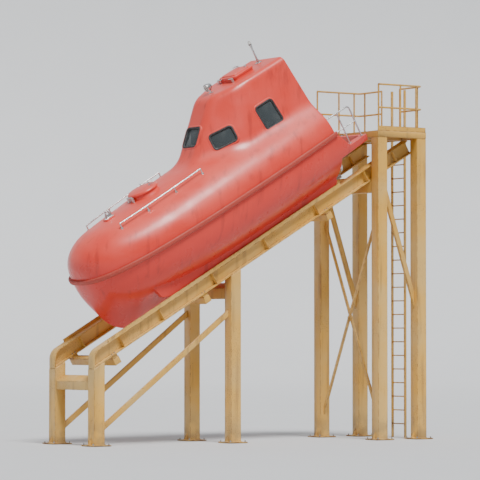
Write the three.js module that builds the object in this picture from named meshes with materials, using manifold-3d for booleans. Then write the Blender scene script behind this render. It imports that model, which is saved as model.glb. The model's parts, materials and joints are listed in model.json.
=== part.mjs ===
// A free-fall enclosed lifeboat lying bow down on its steel launching ramp, in millimetres, +Z up.
// +X runs down the ramp past the bow, +Y is to port. The origin is the middle of the footprint, on the deck
// that the ramp's foot plates stand on. The boat, the ramp rails and their ties are drawn in the boat's own
// frame (x forward from the transom, y to port, z up from the skids) in one group that is turned to the slope.
import * as THREE from 'three';
import { mergeVertices } from 'three/addons/utils/BufferGeometryUtils.js';
import Module from 'manifold-3d';

const wasm = await Module();
wasm.setup();

// Driving dimensions
const SLOPE = THREE.MathUtils.degToRad(30);
const BOAT_LENGTH = 7200;
const BOAT_BEAM = 2720;
const STERN_BEAM = 2300;
const GUNWALE = 1120;
const KEEL = -330;
const CROWN = 2020;
const ROOF = 3020;
const STERN_HEIGHT = 5950;
const GAP = 0.3;
const CLEAR = 6;

// Hull and canopy form
const WIDEST_X = 3200;
const NOSE_POWER = 2.8;
const NOSE_BLUNT = 6;
const KEEL_RISE_X = 6350;
const STEM_FOOT = 580;
const DECK_KNEE_X = 3700;
const DECK_BOW = 1860;
const NOSE_TOP = 1350;
const NOSE_DROP_X = 6350;
const CHINE = { z: 400, bow: 720, riseX: 3600, out: 0.99, weight: 2.2, steps: 8 };
const SHOULDER = { out: 0.99, weight: 0.85, steps: 8 };
const CANOPY_INSET = 10;
const HULL_WALL = 60;
const CANOPY_WALL = 50;
const STATIONS = [0, 800, 1500, 2400, 3400, 4400, 5200, 5800, 6300, 6650, 6900, 7070, 7160, 7200];

// Stern
const BULKHEAD_X = 800;
const CANOPY_SEAM_X = 3900;
const COUNTER_X = 920;
const COUNTER_Z = 560;
const AFT_DECK = { z: 700, front: 540 };
const HOLLOW_X = 1070;
const PROPELLER = { x: 430, z: 230, tip: 205, hub: 42, blades: 4 };
const NOZZLE = { inner: 232, outer: 275, length: 220, stock: 28, pintle: 22 };
const SHOE = { low: -125, high: -60, half: 50, aft: 330 };
const HOOK = { eye: [-88, 630], bore: 16, link: 8, pin: 11, half: 30 };
const SHAFT = { radius: 22, bore: 24, tube: 45, end: 900 };

// Wheelhouse tower, as planes of its own solid
const TOWER_FOOT_Z = 2080;
const TOWER = [
  // name, point on the plane, outward normal tilt from level and heading from forward, in degrees
  { name: 'front', point: [3700, 0], heading: 0, tilt: 47 },
  { name: 'port_bow', point: [3220, 592], heading: 63, tilt: 27 },
  { name: 'starboard_bow', point: [3220, -592], heading: -63, tilt: 27 },
  { name: 'port', point: [1800, 830], heading: 90, tilt: 12 },
  { name: 'starboard', point: [1800, -830], heading: -90, tilt: 12 },
];
const WINDOWS = [
  // node, tower plane, rough centre x, y, z, width, height along the plane
  { node: 'window_front', plane: 'front', at: [3300, 0, 2400], size: [480, 420] },
  { node: 'window_bow_port', plane: 'port_bow', at: [3010, 620, 2210], size: [520, 340] },
  { node: 'window_bow_starboard', plane: 'starboard_bow', at: [3010, -620, 2210], size: [520, 340] },
  { node: 'window_side_port', plane: 'port', at: [1850, 800, 2150], size: [470, 520] },
  { node: 'window_side_starboard', plane: 'starboard', at: [1850, -800, 2150], size: [470, 520] },
];
const WINDOW_CORNER = 70;
const PANE = { thickness: 12, depth: 14, gap: 0.5 };

// Doors and hatches
const DOOR = { width: 700, foot: 1190, height: 1330, thickness: 45, rim: 35 };
const DOOR_HINGE = { y: -365, x: BULKHEAD_X - 29, radius: 12, length: 70, at: [1400, 2220] };
const ROOF_HATCH = { x: 1650, side: 600, hole: 520, thickness: 50, coaming: 45, hinge: 20 };
const FORE_HATCH = {
  x: 4950, radius: 340, hole: 275, rim: 320, thickness: 33, crown: 91, coaming: 60, hinge: 20,
};
const EYE = { bowX: 5950, sternX: 240, half: 90, thickness: 24, base: 60, eyeZ: 95, bore: 27, lift: 25 };
const MAST = { x: 1020, height: 430, lampX: 2420 };
const KNUCKLE = { radius: 14, web: 10 };

// Cabin
const SOLE_Z = 250;
const SEAT_ROWS = [1750, 2500, 3250, 4000, 4750, 5500];
const SEAT = { inner: 300, outer: 830, plinth: 200, back: 620, backThickness: 70, lean: 0.28 };

// Ramp
const RAIL = {
  y: 780, top: -GAP, depth: 300, width: 220, flange: 26, web: 20, start: -1050, end: 8100, bend: 260,
};
const LIP = { height: 60, thickness: 20, end: 7700 };
const TIE = { x: [1500, 5100, 7620], width: 160, depth: 150, drop: 60 };
const SKID = { width: 110, start: 1000, end: 6100, top: 420 };
const LEG = { side: 250, foot: 460, plate: 25, frontX: RAIL.end * Math.cos(SLOPE), midX: 3700, rearX: 100 };
const PLATFORM = {
  top: STERN_HEIGHT + 690, depth: 140, skin: 40, front: 100, back: -1200, half: 1190, edge: 90,
};
const POST_Y = 1065;
const GUARD = { height: 1000, tube: 21, inset: 60, gate: 330 };
const LADDER = { standOff: 150, half: 230, bar: [60, 24], rung: 14, pitch: 300, above: 1000 };

const TAN = Math.tan(SLOPE);
const COS = Math.cos(SLOPE);
const SIN = Math.sin(SLOPE);
const FRONT_REACH = LEG.frontX + (LEG.foot - LEG.side) / 2;
const BACK_REACH = PLATFORM.back - LADDER.standOff - LADDER.bar[0] / 2;
const STERN_X = -(FRONT_REACH + BACK_REACH) / 2;

// Materials
const paint = (color, roughness, metalness = 0) =>
  new THREE.MeshStandardMaterial({ color, roughness, metalness, flatShading: true });
const ORANGE = paint(0xe8452f, 0.35);
const YELLOW = paint(0xd3a548, 0.5);
const BLACK = paint(0x1b1c1e, 0.7);
const STEEL = paint(0xb4b8bb, 0.3, 0.9);
const BRONZE = paint(0xa8793c, 0.35, 0.9);
const GREY = paint(0x8d9296, 0.6);
const SEAT_GREY = paint(0x4b5057, 0.7);
const GLASS = new THREE.MeshStandardMaterial({
  color: 0x26323a, roughness: 0.05, transparent: true, opacity: 0.45, flatShading: true,
});
const LAMP = paint(0xf2f0e4, 0.2);

// Solids

function signedVolume(position, index) {
  const [a, b, c] = [new THREE.Vector3(), new THREE.Vector3(), new THREE.Vector3()];
  let sum = 0;
  for (let i = 0; i < index.length; i += 3) {
    a.fromArray(position, index[i] * 3);
    b.fromArray(position, index[i + 1] * 3);
    c.fromArray(position, index[i + 2] * 3);
    sum += a.dot(b.cross(c));
  }
  return sum;
}

// A closed three.js geometry as a solid that can be joined and cut.
function solidOf(geometry) {
  const bare = geometry.clone();
  bare.deleteAttribute('normal');
  bare.deleteAttribute('uv');
  const merged = mergeVertices(bare, 1e-3);
  const position = new Float32Array(merged.attributes.position.array);
  const index = [];
  const raw = merged.index.array;
  for (let i = 0; i < raw.length; i += 3) {
    const [a, b, c] = [raw[i], raw[i + 1], raw[i + 2]];
    if (a !== b && b !== c && c !== a) index.push(a, b, c);
  }
  if (signedVolume(position, index) < 0) {
    for (let i = 0; i < index.length; i += 3) [index[i + 1], index[i + 2]] = [index[i + 2], index[i + 1]];
  }
  const mesh = new wasm.Mesh({ numProp: 3, vertProperties: position, triVerts: new Uint32Array(index) });
  return new wasm.Manifold(mesh);
}

function geometryOf(solid) {
  const mesh = solid.getMesh();
  return new THREE.BufferGeometry()
    .setAttribute('position', new THREE.BufferAttribute(new Float32Array(mesh.vertProperties), 3))
    .setIndex(new THREE.BufferAttribute(new Uint32Array(mesh.triVerts), 1));
}

const join = (first, ...rest) => rest.reduce((sum, next) => sum.add(next), first);
const cut = (first, ...rest) => rest.reduce((sum, next) => sum.subtract(next), first);

function box(x0, x1, y0, y1, z0, z1) {
  const geometry = new THREE.BoxGeometry(x1 - x0, y1 - y0, z1 - z0);
  return solidOf(geometry.translate((x0 + x1) / 2, (y0 + y1) / 2, (z0 + z1) / 2));
}

// A round bar from one point to another.
function bar(from, to, radius, sides = 8) {
  const [a, b] = [new THREE.Vector3(...from), new THREE.Vector3(...to)];
  const run = b.clone().sub(a);
  const turn = new THREE.Quaternion().setFromUnitVectors(new THREE.Vector3(0, 1, 0), run.clone().normalize());
  const geometry = new THREE.CylinderGeometry(radius, radius, run.length(), sides).applyQuaternion(turn);
  return solidOf(geometry.translate(...a.add(b).multiplyScalar(0.5).toArray()));
}

function shapeOf(points) {
  return new THREE.Shape(points.map(([u, v]) => new THREE.Vector2(u, v)));
}

// An outline of [x, z] points, as thick as y0 to y1.
function sidePlate(points, y0, y1) {
  const geometry = new THREE.ExtrudeGeometry(shapeOf(points), { depth: y1 - y0, bevelEnabled: false });
  return solidOf(geometry.rotateX(Math.PI / 2).translate(0, y1, 0));
}

// An outline of [y, z] points, run along x from x0 to x1.
function alongX(points, x0, x1) {
  const geometry = new THREE.ExtrudeGeometry(shapeOf(points), { depth: x1 - x0, bevelEnabled: false });
  const basis = new THREE.Matrix4().makeBasis(
    new THREE.Vector3(0, 1, 0), new THREE.Vector3(0, 0, 1), new THREE.Vector3(1, 0, 0));
  return solidOf(geometry.applyMatrix4(basis).translate(x0, 0, 0));
}

// A rectangle with round corners, centred on the shape's own origin.
function roundedRectangle(width, height, radius) {
  const [w, h] = [width / 2, height / 2];
  const shape = new THREE.Shape();
  shape.moveTo(-w + radius, -h);
  shape.lineTo(w - radius, -h);
  shape.absarc(w - radius, -h + radius, radius, -Math.PI / 2, 0);
  shape.lineTo(w, h - radius);
  shape.absarc(w - radius, h - radius, radius, 0, Math.PI / 2);
  shape.lineTo(-w + radius, h);
  shape.absarc(-w + radius, h - radius, radius, Math.PI / 2, Math.PI);
  shape.lineTo(-w, -h + radius);
  shape.absarc(-w + radius, -h + radius, radius, Math.PI, 1.5 * Math.PI);
  return shape;
}

// A rounded rectangle standing on a plane of the boat: frame holds its centre and axes, and from and to run
// along the normal.
function slabOn(frame, size, corner, from, to) {
  const shape = roundedRectangle(size[0], size[1], corner);
  const options = { depth: to - from, bevelEnabled: false, curveSegments: 3 };
  const geometry = new THREE.ExtrudeGeometry(shape, options);
  return solidOf(geometry.translate(0, 0, from).applyMatrix4(frame));
}

// A profile of [radius, distance] points spun about an axis through centre.
function spun(points, segments, axis, centre) {
  const geometry = new THREE.LatheGeometry(points.map(([r, d]) => new THREE.Vector2(r, d)), segments);
  const [lathe, wanted] = [new THREE.Vector3(0, 1, 0), new THREE.Vector3(...axis)];
  const turn = new THREE.Quaternion().setFromUnitVectors(lathe, wanted);
  return solidOf(geometry.applyQuaternion(turn).translate(...centre));
}

// A skin through rings of equally many [x, y, z] points, closed at both ends by a fan.
function loft(rings) {
  const count = rings[0].length;
  const position = rings.flat(2);
  const index = [];
  for (let r = 0; r + 1 < rings.length; r++) {
    for (let i = 0; i < count; i++) {
      const [a, b] = [r * count + i, r * count + ((i + 1) % count)];
      index.push(a, b, a + count, b, b + count, a + count);
    }
  }
  for (const [ring, flip] of [[0, true], [rings.length - 1, false]]) {
    const middle = position.length / 3;
    position.push(...[0, 1, 2].map((k) => rings[ring].reduce((sum, p) => sum + p[k], 0) / count));
    for (let i = 0; i < count; i++) {
      const [a, b] = [ring * count + i, ring * count + ((i + 1) % count)];
      index.push(...(flip ? [middle, b, a] : [middle, a, b]));
    }
  }
  const geometry = new THREE.BufferGeometry();
  geometry.setAttribute('position', new THREE.BufferAttribute(new Float32Array(position), 3));
  return solidOf(geometry.setIndex(index));
}

// The boat's lines

function halfBeam(x) {
  if (x <= WIDEST_X) {
    const aft = (WIDEST_X - x) / WIDEST_X;
    return BOAT_BEAM / 2 - ((BOAT_BEAM - STERN_BEAM) / 2) * aft * aft;
  }
  const ahead = (x - WIDEST_X) / (BOAT_LENGTH - WIDEST_X + NOSE_BLUNT);
  return (BOAT_BEAM / 2) * (1 - ahead ** NOSE_POWER) ** (1 / NOSE_POWER);
}

function quarterRise(x, start) {
  const share = Math.min(1, Math.max(0, (x - start) / (BOAT_LENGTH - start)));
  return 1 - Math.sqrt(1 - share * share);
}

// Height of the hull's turn below the gunwale, which rises towards the bow.
function chineLine(x) {
  const share = Math.max(0, (x - CHINE.riseX) / (BOAT_LENGTH - CHINE.riseX));
  return CHINE.z + (CHINE.bow - CHINE.z) * share * share;
}

const keelLine = (x) => KEEL + (STEM_FOOT - KEEL) * quarterRise(x, KEEL_RISE_X);

function crownLine(x) {
  const slope = (CROWN - DECK_BOW) / (BOAT_LENGTH - DECK_KNEE_X);
  const deck = CROWN - slope * Math.max(0, x - DECK_KNEE_X);
  return deck - (DECK_BOW - NOSE_TOP) * quarterRise(x, NOSE_DROP_X);
}

const bowEyeZ = () => crownLine(EYE.bowX) + EYE.lift;

// Points of a conic arc from one end to the other, pulled towards the corner: more weight, tighter corner.
function cornerArc(from, corner, to, weight, steps) {
  return Array.from({ length: steps + 1 }, (_, i) => {
    const t = i / steps;
    const [a, b, c] = [(1 - t) ** 2, 2 * weight * t * (1 - t), t * t];
    return [0, 1].map((k) => (a * from[k] + b * corner[k] + c * to[k]) / (a + b + c));
  });
}

// A half section from port to the middle with its mirror to starboard, as a ring at x that the tail closes.
function mirroredRing(x, half, tail) {
  const port = half.map(([y, z]) => [x, y, z]);
  const starboard = half.slice(0, -1).reverse().map(([y, z]) => [x, -y, z]);
  return [...port, ...starboard, ...tail.map(([y, z]) => [x, y, z])];
}

function hullRing(x, wall) {
  const [beam, keel] = [halfBeam(x + wall) - wall * 0.7, keelLine(x + wall) + wall];
  const corner = [beam * CHINE.out, chineLine(x + wall) + wall * 0.8];
  const half = cornerArc([beam, GUNWALE], corner, [0, keel], CHINE.weight, CHINE.steps);
  const above = GUNWALE + wall;
  return mirroredRing(x, half, wall ? [[-beam, above], [beam, above]] : []);
}

function canopyRing(x, wall) {
  const beam = halfBeam(x + wall) - CANOPY_INSET - wall;
  const crown = crownLine(x + wall) - wall;
  const corner = [beam * SHOULDER.out, crown];
  const foot = GUNWALE + GAP;
  const half = cornerArc([beam, foot], corner, [0, crown], SHOULDER.weight, SHOULDER.steps);
  const below = foot - wall;
  return mirroredRing(x, half, wall ? [[-beam, below], [beam, below]] : []);
}

const innerStations = (start, wall) =>
  [start, ...STATIONS.filter((x) => x > start + 300 && x < BOAT_LENGTH - 2 * wall)];

function hullHollow(wall) {
  const stations = [...innerStations(HOLLOW_X, wall), BOAT_LENGTH - 2 * wall];
  return loft(stations.map((x) => hullRing(x, wall)));
}

// The counter's sloping aft face above the propeller: its x at a height.
const counterFace = (z) => COUNTER_X + 90 - (150 * (z - KEEL)) / (COUNTER_Z - KEEL);

// Tower planes

function planeNormal({ heading, tilt }) {
  const [h, t] = [heading, tilt].map(THREE.MathUtils.degToRad);
  return new THREE.Vector3(Math.cos(h) * Math.cos(t), Math.sin(h) * Math.cos(t), Math.sin(t));
}

const planePoint = (plane) => new THREE.Vector3(plane.point[0], plane.point[1], TOWER_FOOT_Z);

// The tower between its planes, drawn in by wall.
function towerBlock(wall) {
  let block = box(BULKHEAD_X + wall, 4200, -1000, 1000, 1700, ROOF - wall);
  for (const plane of TOWER) {
    const normal = planeNormal(plane);
    const inward = normal.clone().negate();
    block = block.trimByPlane(inward.toArray(), inward.dot(planePoint(plane)) + wall);
  }
  return block;
}

function windowFrame({ plane, at }) {
  const found = TOWER.find((p) => p.name === plane);
  const normal = planeNormal(found);
  const centre = new THREE.Vector3(...at);
  centre.addScaledVector(normal, planePoint(found).sub(centre).dot(normal));
  const across = new THREE.Vector3(0, 0, 1).cross(normal).normalize();
  const up = normal.clone().cross(across);
  return new THREE.Matrix4().makeBasis(across, up, normal).setPosition(centre);
}

const roofFrame = (x, z) => new THREE.Matrix4().makeTranslation(x, 0, z);

// The aft bulkhead's outside, seen from astern: across runs to starboard, up is up.
function doorFrame(x) {
  return new THREE.Matrix4()
    .makeBasis(new THREE.Vector3(0, -1, 0), new THREE.Vector3(0, 0, 1), new THREE.Vector3(-1, 0, 0))
    .setPosition(x, 0, DOOR.foot + DOOR.height / 2);
}

// Boat pieces

function hull() {
  const outside = loft(STATIONS.map((x) => hullRing(x, 0)));
  const skids = [-1, 1].map((side) => {
    const y = side * RAIL.y;
    const toe = SKID.end - 300;
    const outline = [[SKID.start, 0], [toe, 0], [SKID.end, 120], [SKID.end, SKID.top], [SKID.start, SKID.top]];
    return sidePlate(outline, y - SKID.width / 2, y + SKID.width / 2);
  });
  const [low, high] = [KEEL - 100, COUNTER_Z];
  const counter = sidePlate(
    [[-200, low], [counterFace(low), low], [counterFace(high), high], [-200, high]], -BOAT_BEAM, BOAT_BEAM);
  const stockBore = bar(
    [PROPELLER.x, 0, COUNTER_Z - 20], [PROPELLER.x, 0, COUNTER_Z + 90], NOZZLE.stock + 3, 24);
  const { z, front } = AFT_DECK;
  const overDeck = sidePlate(
    [[-200, z], [front, z], [BULKHEAD_X, GUNWALE], [BULKHEAD_X, GUNWALE + 50], [-200, GUNWALE + 50]],
    -BOAT_BEAM, BOAT_BEAM);
  return cut(join(outside, ...skids), hullHollow(HULL_WALL), counter, overDeck, stockBore);
}

// A plate with an eye, standing fore and aft on a base plate at height z.
function liftingEye(x, z) {
  const { half, thickness, base, eyeZ, bore } = EYE;
  const outline = [[-half, 5], [half, 5], [half, 40], [35, eyeZ + 55], [-35, eyeZ + 55], [-half, 40]];
  const plate = sidePlate(outline.map(([u, v]) => [x + u, z + v]), -thickness / 2, thickness / 2);
  const foot = box(x - half - 15, x + half + 15, -base, base, z, z + 12);
  return join(cut(plate, bar([x, -40, z + eyeZ], [x, 40, z + eyeZ], bore, 16)), foot);
}

// The cabin's four mouldings: bulkhead, canopy, foredeck and wheelhouse. The wheelhouse stands on the canopy.
function cabinMouldings() {
  const aft = BULKHEAD_X;
  const stations = [aft, ...STATIONS.filter((x) => x > aft)];
  const outside = loft(stations.map((x) => canopyRing(x, 0)));
  const hollowStations = [...innerStations(aft + CANOPY_WALL, CANOPY_WALL), BOAT_LENGTH - 2 * CANOPY_WALL];
  const hollow = loft(hollowStations.map((x) => canopyRing(x, CANOPY_WALL)));
  const [tower, room] = [towerBlock(0), towerBlock(CANOPY_WALL)];
  const { x: foreX, rim: foreRim, hole: foreRadius } = FORE_HATCH;
  const foreTop = crownLine(foreX) + FORE_HATCH.coaming;
  const foreCoaming = bar([foreX, 0, crownLine(foreX) - 90], [foreX, 0, foreTop], foreRim, 32);
  const foreHole = bar([foreX, 0, 1700], [foreX, 0, foreTop + 50], foreRadius, 32);
  const roof = roofFrame(ROOF_HATCH.x, ROOF);
  const roofCoaming = slabOn(roof, [ROOF_HATCH.hole + 60, ROOF_HATCH.hole + 60], 80, -40, ROOF_HATCH.coaming);
  const roofHole = slabOn(roof, [ROOF_HATCH.hole, ROOF_HATCH.hole], 60, -200, 200);
  const doorSize = [DOOR.width - 2 * DOOR.rim, DOOR.height - 2 * DOOR.rim];
  const doorway = slabOn(doorFrame(BULKHEAD_X), doorSize, 90, -200, 100);
  const glazing = WINDOWS.map((w) => slabOn(windowFrame(w), w.size, WINDOW_CORNER, -220, 60));
  const panel = aft + CANOPY_WALL;
  const between = (x0, x1) => box(x0, x1, -BOAT_BEAM, BOAT_BEAM, 0, 2 * ROOF);
  const shell = cut(outside, hollow, room);
  const house = cut(tower, room, outside.translate([0, 0, 1.5 * GAP]));
  const [roofLugs, foreLugs] = hatchLugs();
  const wall = join(outside, tower).intersect(between(aft - 1, panel));
  const bow = shell.intersect(between(CANOPY_SEAM_X + GAP, BOAT_LENGTH + 1));
  const cab = house.intersect(between(panel + GAP, CANOPY_SEAM_X));
  return {
    aft_bulkhead: cut(join(wall, ...hingeLugs()), doorway),
    canopy: shell.intersect(between(panel + GAP, CANOPY_SEAM_X)),
    foredeck: cut(join(bow, foreCoaming, eyePad(), ...foreLugs), foreHole),
    wheelhouse: cut(join(cab, roofCoaming, ...roofLugs), roofHole, ...glazing),
  };
}

// A level pad on the foredeck that carries the bow lifting eye.
function eyePad() {
  const { bowX, half, base } = EYE;
  const z = bowEyeZ();
  return box(bowX - half - 30, bowX + half + 30, -base - 20, base + 20, z - 80, z - GAP);
}

// The door's fixed knuckles, above the ones that the door carries.
function hingeLugs() {
  const { x, y, radius, length, at } = DOOR_HINGE;
  return at.map((z) => {
    const [low, high] = [z + length + CLEAR, z + 2 * length + CLEAR];
    return join(bar([x, y, low], [x, y, high], radius, 12), box(x, BULKHEAD_X + 20, y - 9, y + 9, low, high));
  });
}

// The hatches' hinges lie across the boat on their bow side: the axis [x, z], the foot of the fixed lugs, and
// the lids' and coamings' knuckles in y.
function hatchHinges() {
  const roofSeat = ROOF + ROOF_HATCH.coaming + CLEAR;
  const foreSeat = crownLine(FORE_HATCH.x) + FORE_HATCH.coaming + CLEAR;
  return {
    roof: {
      axis: [ROOF_HATCH.x + ROOF_HATCH.side / 2 + ROOF_HATCH.hinge, roofSeat + ROOF_HATCH.thickness / 2],
      foot: ROOF - 20,
      lid: [[-225, -135], [135, 225]],
      fixed: [[-301, -231], [231, 301]],
    },
    fore: {
      axis: [FORE_HATCH.x + FORE_HATCH.radius + FORE_HATCH.hinge, foreSeat + FORE_HATCH.thickness / 2],
      foot: crownLine(FORE_HATCH.x + FORE_HATCH.radius) - 30,
      lid: [[-45, 45]],
      fixed: [[-121, -51], [51, 121]],
    },
  };
}

function hatchLugs() {
  const { radius, web } = KNUCKLE;
  const lug = (x, z, foot, y0, y1) =>
    join(bar([x, y0, z], [x, y1, z], radius, 12), box(x - web, x + web, y0, y1, foot, z));
  return Object.values(hatchHinges()).map(({ axis: [x, z], foot, fixed }) =>
    fixed.map(([y0, y1]) => lug(x, z, foot, y0, y1)));
}

function lidKnuckles({ axis: [x, z], lid }, reach) {
  const { radius, web } = KNUCKLE;
  return lid.map(([y0, y1]) =>
    join(bar([x, y0, z], [x, y1, z], radius, 12), box(x - reach, x, y0, y1, z - web, z + web)));
}

function windowPane(window) {
  const size = window.size.map((side) => side - 2 * PANE.gap);
  return slabOn(windowFrame(window), size, WINDOW_CORNER, -PANE.depth - PANE.thickness, -PANE.depth);
}

function aftDoor() {
  const { x, y, radius, length, at } = DOOR_HINGE;
  const face = doorFrame(BULKHEAD_X - CLEAR);
  const leaf = slabOn(face, [DOOR.width, DOOR.height], 110, 0, DOOR.thickness);
  const raised = [DOOR.width - 160, DOOR.height - 160];
  const panel = slabOn(face, raised, 80, DOOR.thickness - 5, DOOR.thickness + 18);
  const knuckles = at.map((z) =>
    join(bar([x, y, z], [x, y, z + length], radius, 12), box(x - 8, x + 8, y, y + 40, z, z + length)));
  return join(leaf, panel, ...knuckles);
}

function roofHatchLid() {
  const seat = ROOF + ROOF_HATCH.coaming + CLEAR;
  const frame = roofFrame(ROOF_HATCH.x, seat);
  const { side, thickness } = ROOF_HATCH;
  const lid = slabOn(frame, [side, side], 90, 0, thickness);
  const crown = slabOn(frame, [side - 120, side - 120], 70, thickness - 5, thickness + 22);
  return join(lid, crown, ...lidKnuckles(hatchHinges().roof, 40));
}

function foreHatchLid() {
  const seat = crownLine(FORE_HATCH.x) + FORE_HATCH.coaming + CLEAR;
  const { radius: rim, thickness, crown } = FORE_HATCH;
  const profile = [
    [0, 0], [rim, 0], [rim, thickness], [rim - 30, thickness + 22], [rim * 0.5, crown - 8], [0, crown]];
  return join(spun(profile, 32, [0, 0, 1], [FORE_HATCH.x, 0, seat]), ...lidKnuckles(hatchHinges().fore, 45));
}

// The boat's edge in plan, moved outwards by a distance, from the bulkhead along port, round the bow and back.
function planOutline(distance) {
  const stations = [BULKHEAD_X, ...STATIONS.filter((x) => x > BULKHEAD_X)];
  const port = stations.map((x) => new THREE.Vector2(x, halfBeam(x)));
  const all = [...port, ...port.map((p) => new THREE.Vector2(p.x, -p.y)).reverse()];
  return all.map((p, i) => {
    const before = all[Math.max(0, i - 1)];
    const after = all[Math.min(all.length - 1, i + 1)];
    const run = after.clone().sub(before).normalize();
    return new THREE.Vector2(p.x - run.y * distance, p.y + run.x * distance);
  });
}

function fenderBelt() {
  const outer = new THREE.Shape(planOutline(40));
  const rounded = new THREE.ExtrudeGeometry(outer, {
    depth: 60, bevelEnabled: true, bevelThickness: 22, bevelSize: 18, bevelSegments: 2,
  });
  const inner = planOutline(GAP * 2);
  const behind = BULKHEAD_X - 200;
  inner.unshift(new THREE.Vector2(behind, inner[0].y));
  inner.push(new THREE.Vector2(behind, inner.at(-1).y));
  const core = new THREE.ExtrudeGeometry(new THREE.Shape(inner), { depth: 300, bevelEnabled: false });
  return cut(solidOf(rounded.translate(0, 0, GUNWALE - 40)), solidOf(core.translate(0, 0, GUNWALE - 150)));
}

function propeller() {
  const { x, z, tip, hub, blades } = PROPELLER;
  const profile = [[0, -90], [hub * 0.45, -70], [hub, -20], [hub, 60], [hub * 0.8, 75], [0, 75]];
  const boss = spun(profile, 20, [1, 0, 0], [x, 0, z]);
  const shaft = bar([x + 40, 0, z], [SHAFT.end, 0, z], SHAFT.radius, 16);
  // radius, blade angle from the shaft in degrees, half chord, half thickness
  const sections = [[hub * 0.7, 28, 55, 12], [110, 45, 88, 9], [190, 58, 84, 6], [tip, 64, 34, 3]];
  const rings = sections.map(([r, angle, chord, thick]) => {
    const a = THREE.MathUtils.degToRad(angle);
    return [[chord, 0], [0, thick], [-chord, 0], [0, -thick]].map(([u, v]) =>
      [u * Math.cos(a) - v * Math.sin(a), u * Math.sin(a) + v * Math.cos(a), r]);
  });
  const wheel = Array.from({ length: blades }, (_, i) => {
    const turn = new THREE.Matrix4().makeRotationX((i * 2 * Math.PI) / blades);
    const turned = rings.map((ring) => ring.map((p) => {
      const moved = new THREE.Vector3(...p).applyMatrix4(turn);
      return [moved.x + x, moved.y, moved.z + z];
    }));
    return loft(turned);
  });
  return join(boss, shaft, ...wheel);
}

function steeringNozzle() {
  const { x, z } = PROPELLER;
  const { inner, outer, length, stock, pintle } = NOZZLE;
  const half = length / 2;
  const profile = [
    [inner + 8, -half], [inner, 0], [inner + 14, half - 15], [inner + 28, half],
    [outer, half - 30], [outer - 14, -half + 10], [inner + 18, -half], [inner + 8, -half]];
  const ring = spun(profile, 40, [1, 0, 0], [x, 0, z]);
  const head = bar([x, 0, z + inner + 15], [x, 0, COUNTER_Z + 70], stock, 24);
  const heel = bar([x, 0, SHOE.low + 7], [x, 0, z - inner - 15], pintle, 24);
  return join(ring, head, heel);
}

function skeg() {
  const { low, high, half, aft } = SHOE;
  const [toe, heel] = [counterFace(low) - 1, counterFace(high) - 1];
  const shoe = sidePlate([[aft, low], [toe, low], [heel, high], [aft, high]], -half, half);
  return cut(shoe, bar([PROPELLER.x, 0, low - 20], [PROPELLER.x, 0, high + 20], NOZZLE.pintle + 3, 24));
}

function sternTube() {
  const z = PROPELLER.z;
  const tube = bar([PROPELLER.x + 170, 0, z], [counterFace(z) - 12, 0, z], SHAFT.tube, 24);
  return cut(tube, bar([0, 0, z], [COUNTER_X + 100, 0, z], SHAFT.bore, 24));
}

function releaseHook() {
  const [x, z] = HOOK.eye;
  const cheeks = [-1, 1].map((side) =>
    sidePlate([[-GAP, z - 55], [-GAP, z + 60], [-60, z + 52], [-60, z - 40]], side * 52 - 10, side * 52 + 10));
  const claw = sidePlate(
    [[-10, z + 50], [-95, z + 42], [-124, z], [-105, z - 38], [-60, z - 42], [-10, z - 5]], -18, 18);
  const pin = bar([-35, -70, z + 22], [-35, 70, z + 22], 12, 12);
  return join(...cheeks, cut(claw, bar([x, -40, z], [x, 40, z], HOOK.bore, 16)), pin);
}

function handRail(points, feet, radius = 17) {
  const runs = points.slice(1).map((p, i) => bar(points[i], p, radius));
  const knee = (p) => solidOf(new THREE.SphereGeometry(radius * 1.06, 8, 6).translate(...p));
  const knees = points.slice(1, -1).map(knee);
  const posts = feet.map(([top, foot]) => bar(top, foot, radius * 0.92));
  return join(...runs, ...knees, ...posts);
}

// A rail along the canopy's shoulder, its posts standing on the deck just inside it.
function grabRail(side) {
  const at = (x, lift) => {
    const y = (halfBeam(x) - CANOPY_INSET) * 0.6;
    return [x, side * y, deckHeight(x, y) + lift];
  };
  const xs = [3950, 4700, 5450, 6150];
  const line = xs.map((x) => at(x, 110));
  return handRail(line, xs.map((x) => [at(x, 110), at(x, 14)]), 15);
}

// Height of the canopy's outside at x, a distance y from the middle.
function deckHeight(x, y) {
  const half = canopyRing(x, 0).slice(0, SHOULDER.steps + 1).map((p) => [p[1], p[2]]);
  const i = half.findIndex((p) => p[0] <= y);
  const [[y0, z0], [y1, z1]] = [half[i - 1], half[i]];
  return z0 + ((z1 - z0) * (y0 - y)) / (y0 - y1);
}

function sternRail(side) {
  const y = side * 1010;
  const [low, high] = [AFT_DECK.z + GAP, GUNWALE + 300];
  const line = [[70, y, low], [70, y, high], [BULKHEAD_X - 8, y, high]];
  return handRail(line, [[[420, y, high], [420, y, low]]]);
}

function roofMast() {
  const foot = ROOF + GAP;
  const tube = bar([MAST.x, 0, foot], [MAST.x, 0, foot + MAST.height], 20, 12);
  const plate = box(MAST.x - 70, MAST.x + 70, -60, 60, foot, foot + 15);
  return join(tube, plate);
}

function positionLight() {
  const foot = ROOF + GAP + MAST.height + GAP;
  return spun([[0, 0], [38, 0], [38, 40], [32, 70], [18, 88], [0, 92]], 16, [0, 0, 1], [MAST.x, 0, foot]);
}

function searchLight() {
  const [x, z] = [MAST.lampX, ROOF + GAP];
  const stem = bar([x, 0, z], [x, 0, z + 70], 22, 12);
  const lamp = spun([[0, -70], [60, -60], [85, 20], [85, 70], [0, 70]], 20, [1, 0, 0], [x, 0, z + 140]);
  return join(stem, lamp);
}

// Cabin pieces

function cabinSole() {
  const stations = [...innerStations(HOLLOW_X + 5, HULL_WALL), 6600];
  const filling = loft(stations.map((x) => hullRing(x, HULL_WALL + 4)));
  return filling.intersect(box(HOLLOW_X, 6400, -1300, 1300, KEEL, SOLE_Z));
}

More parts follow.
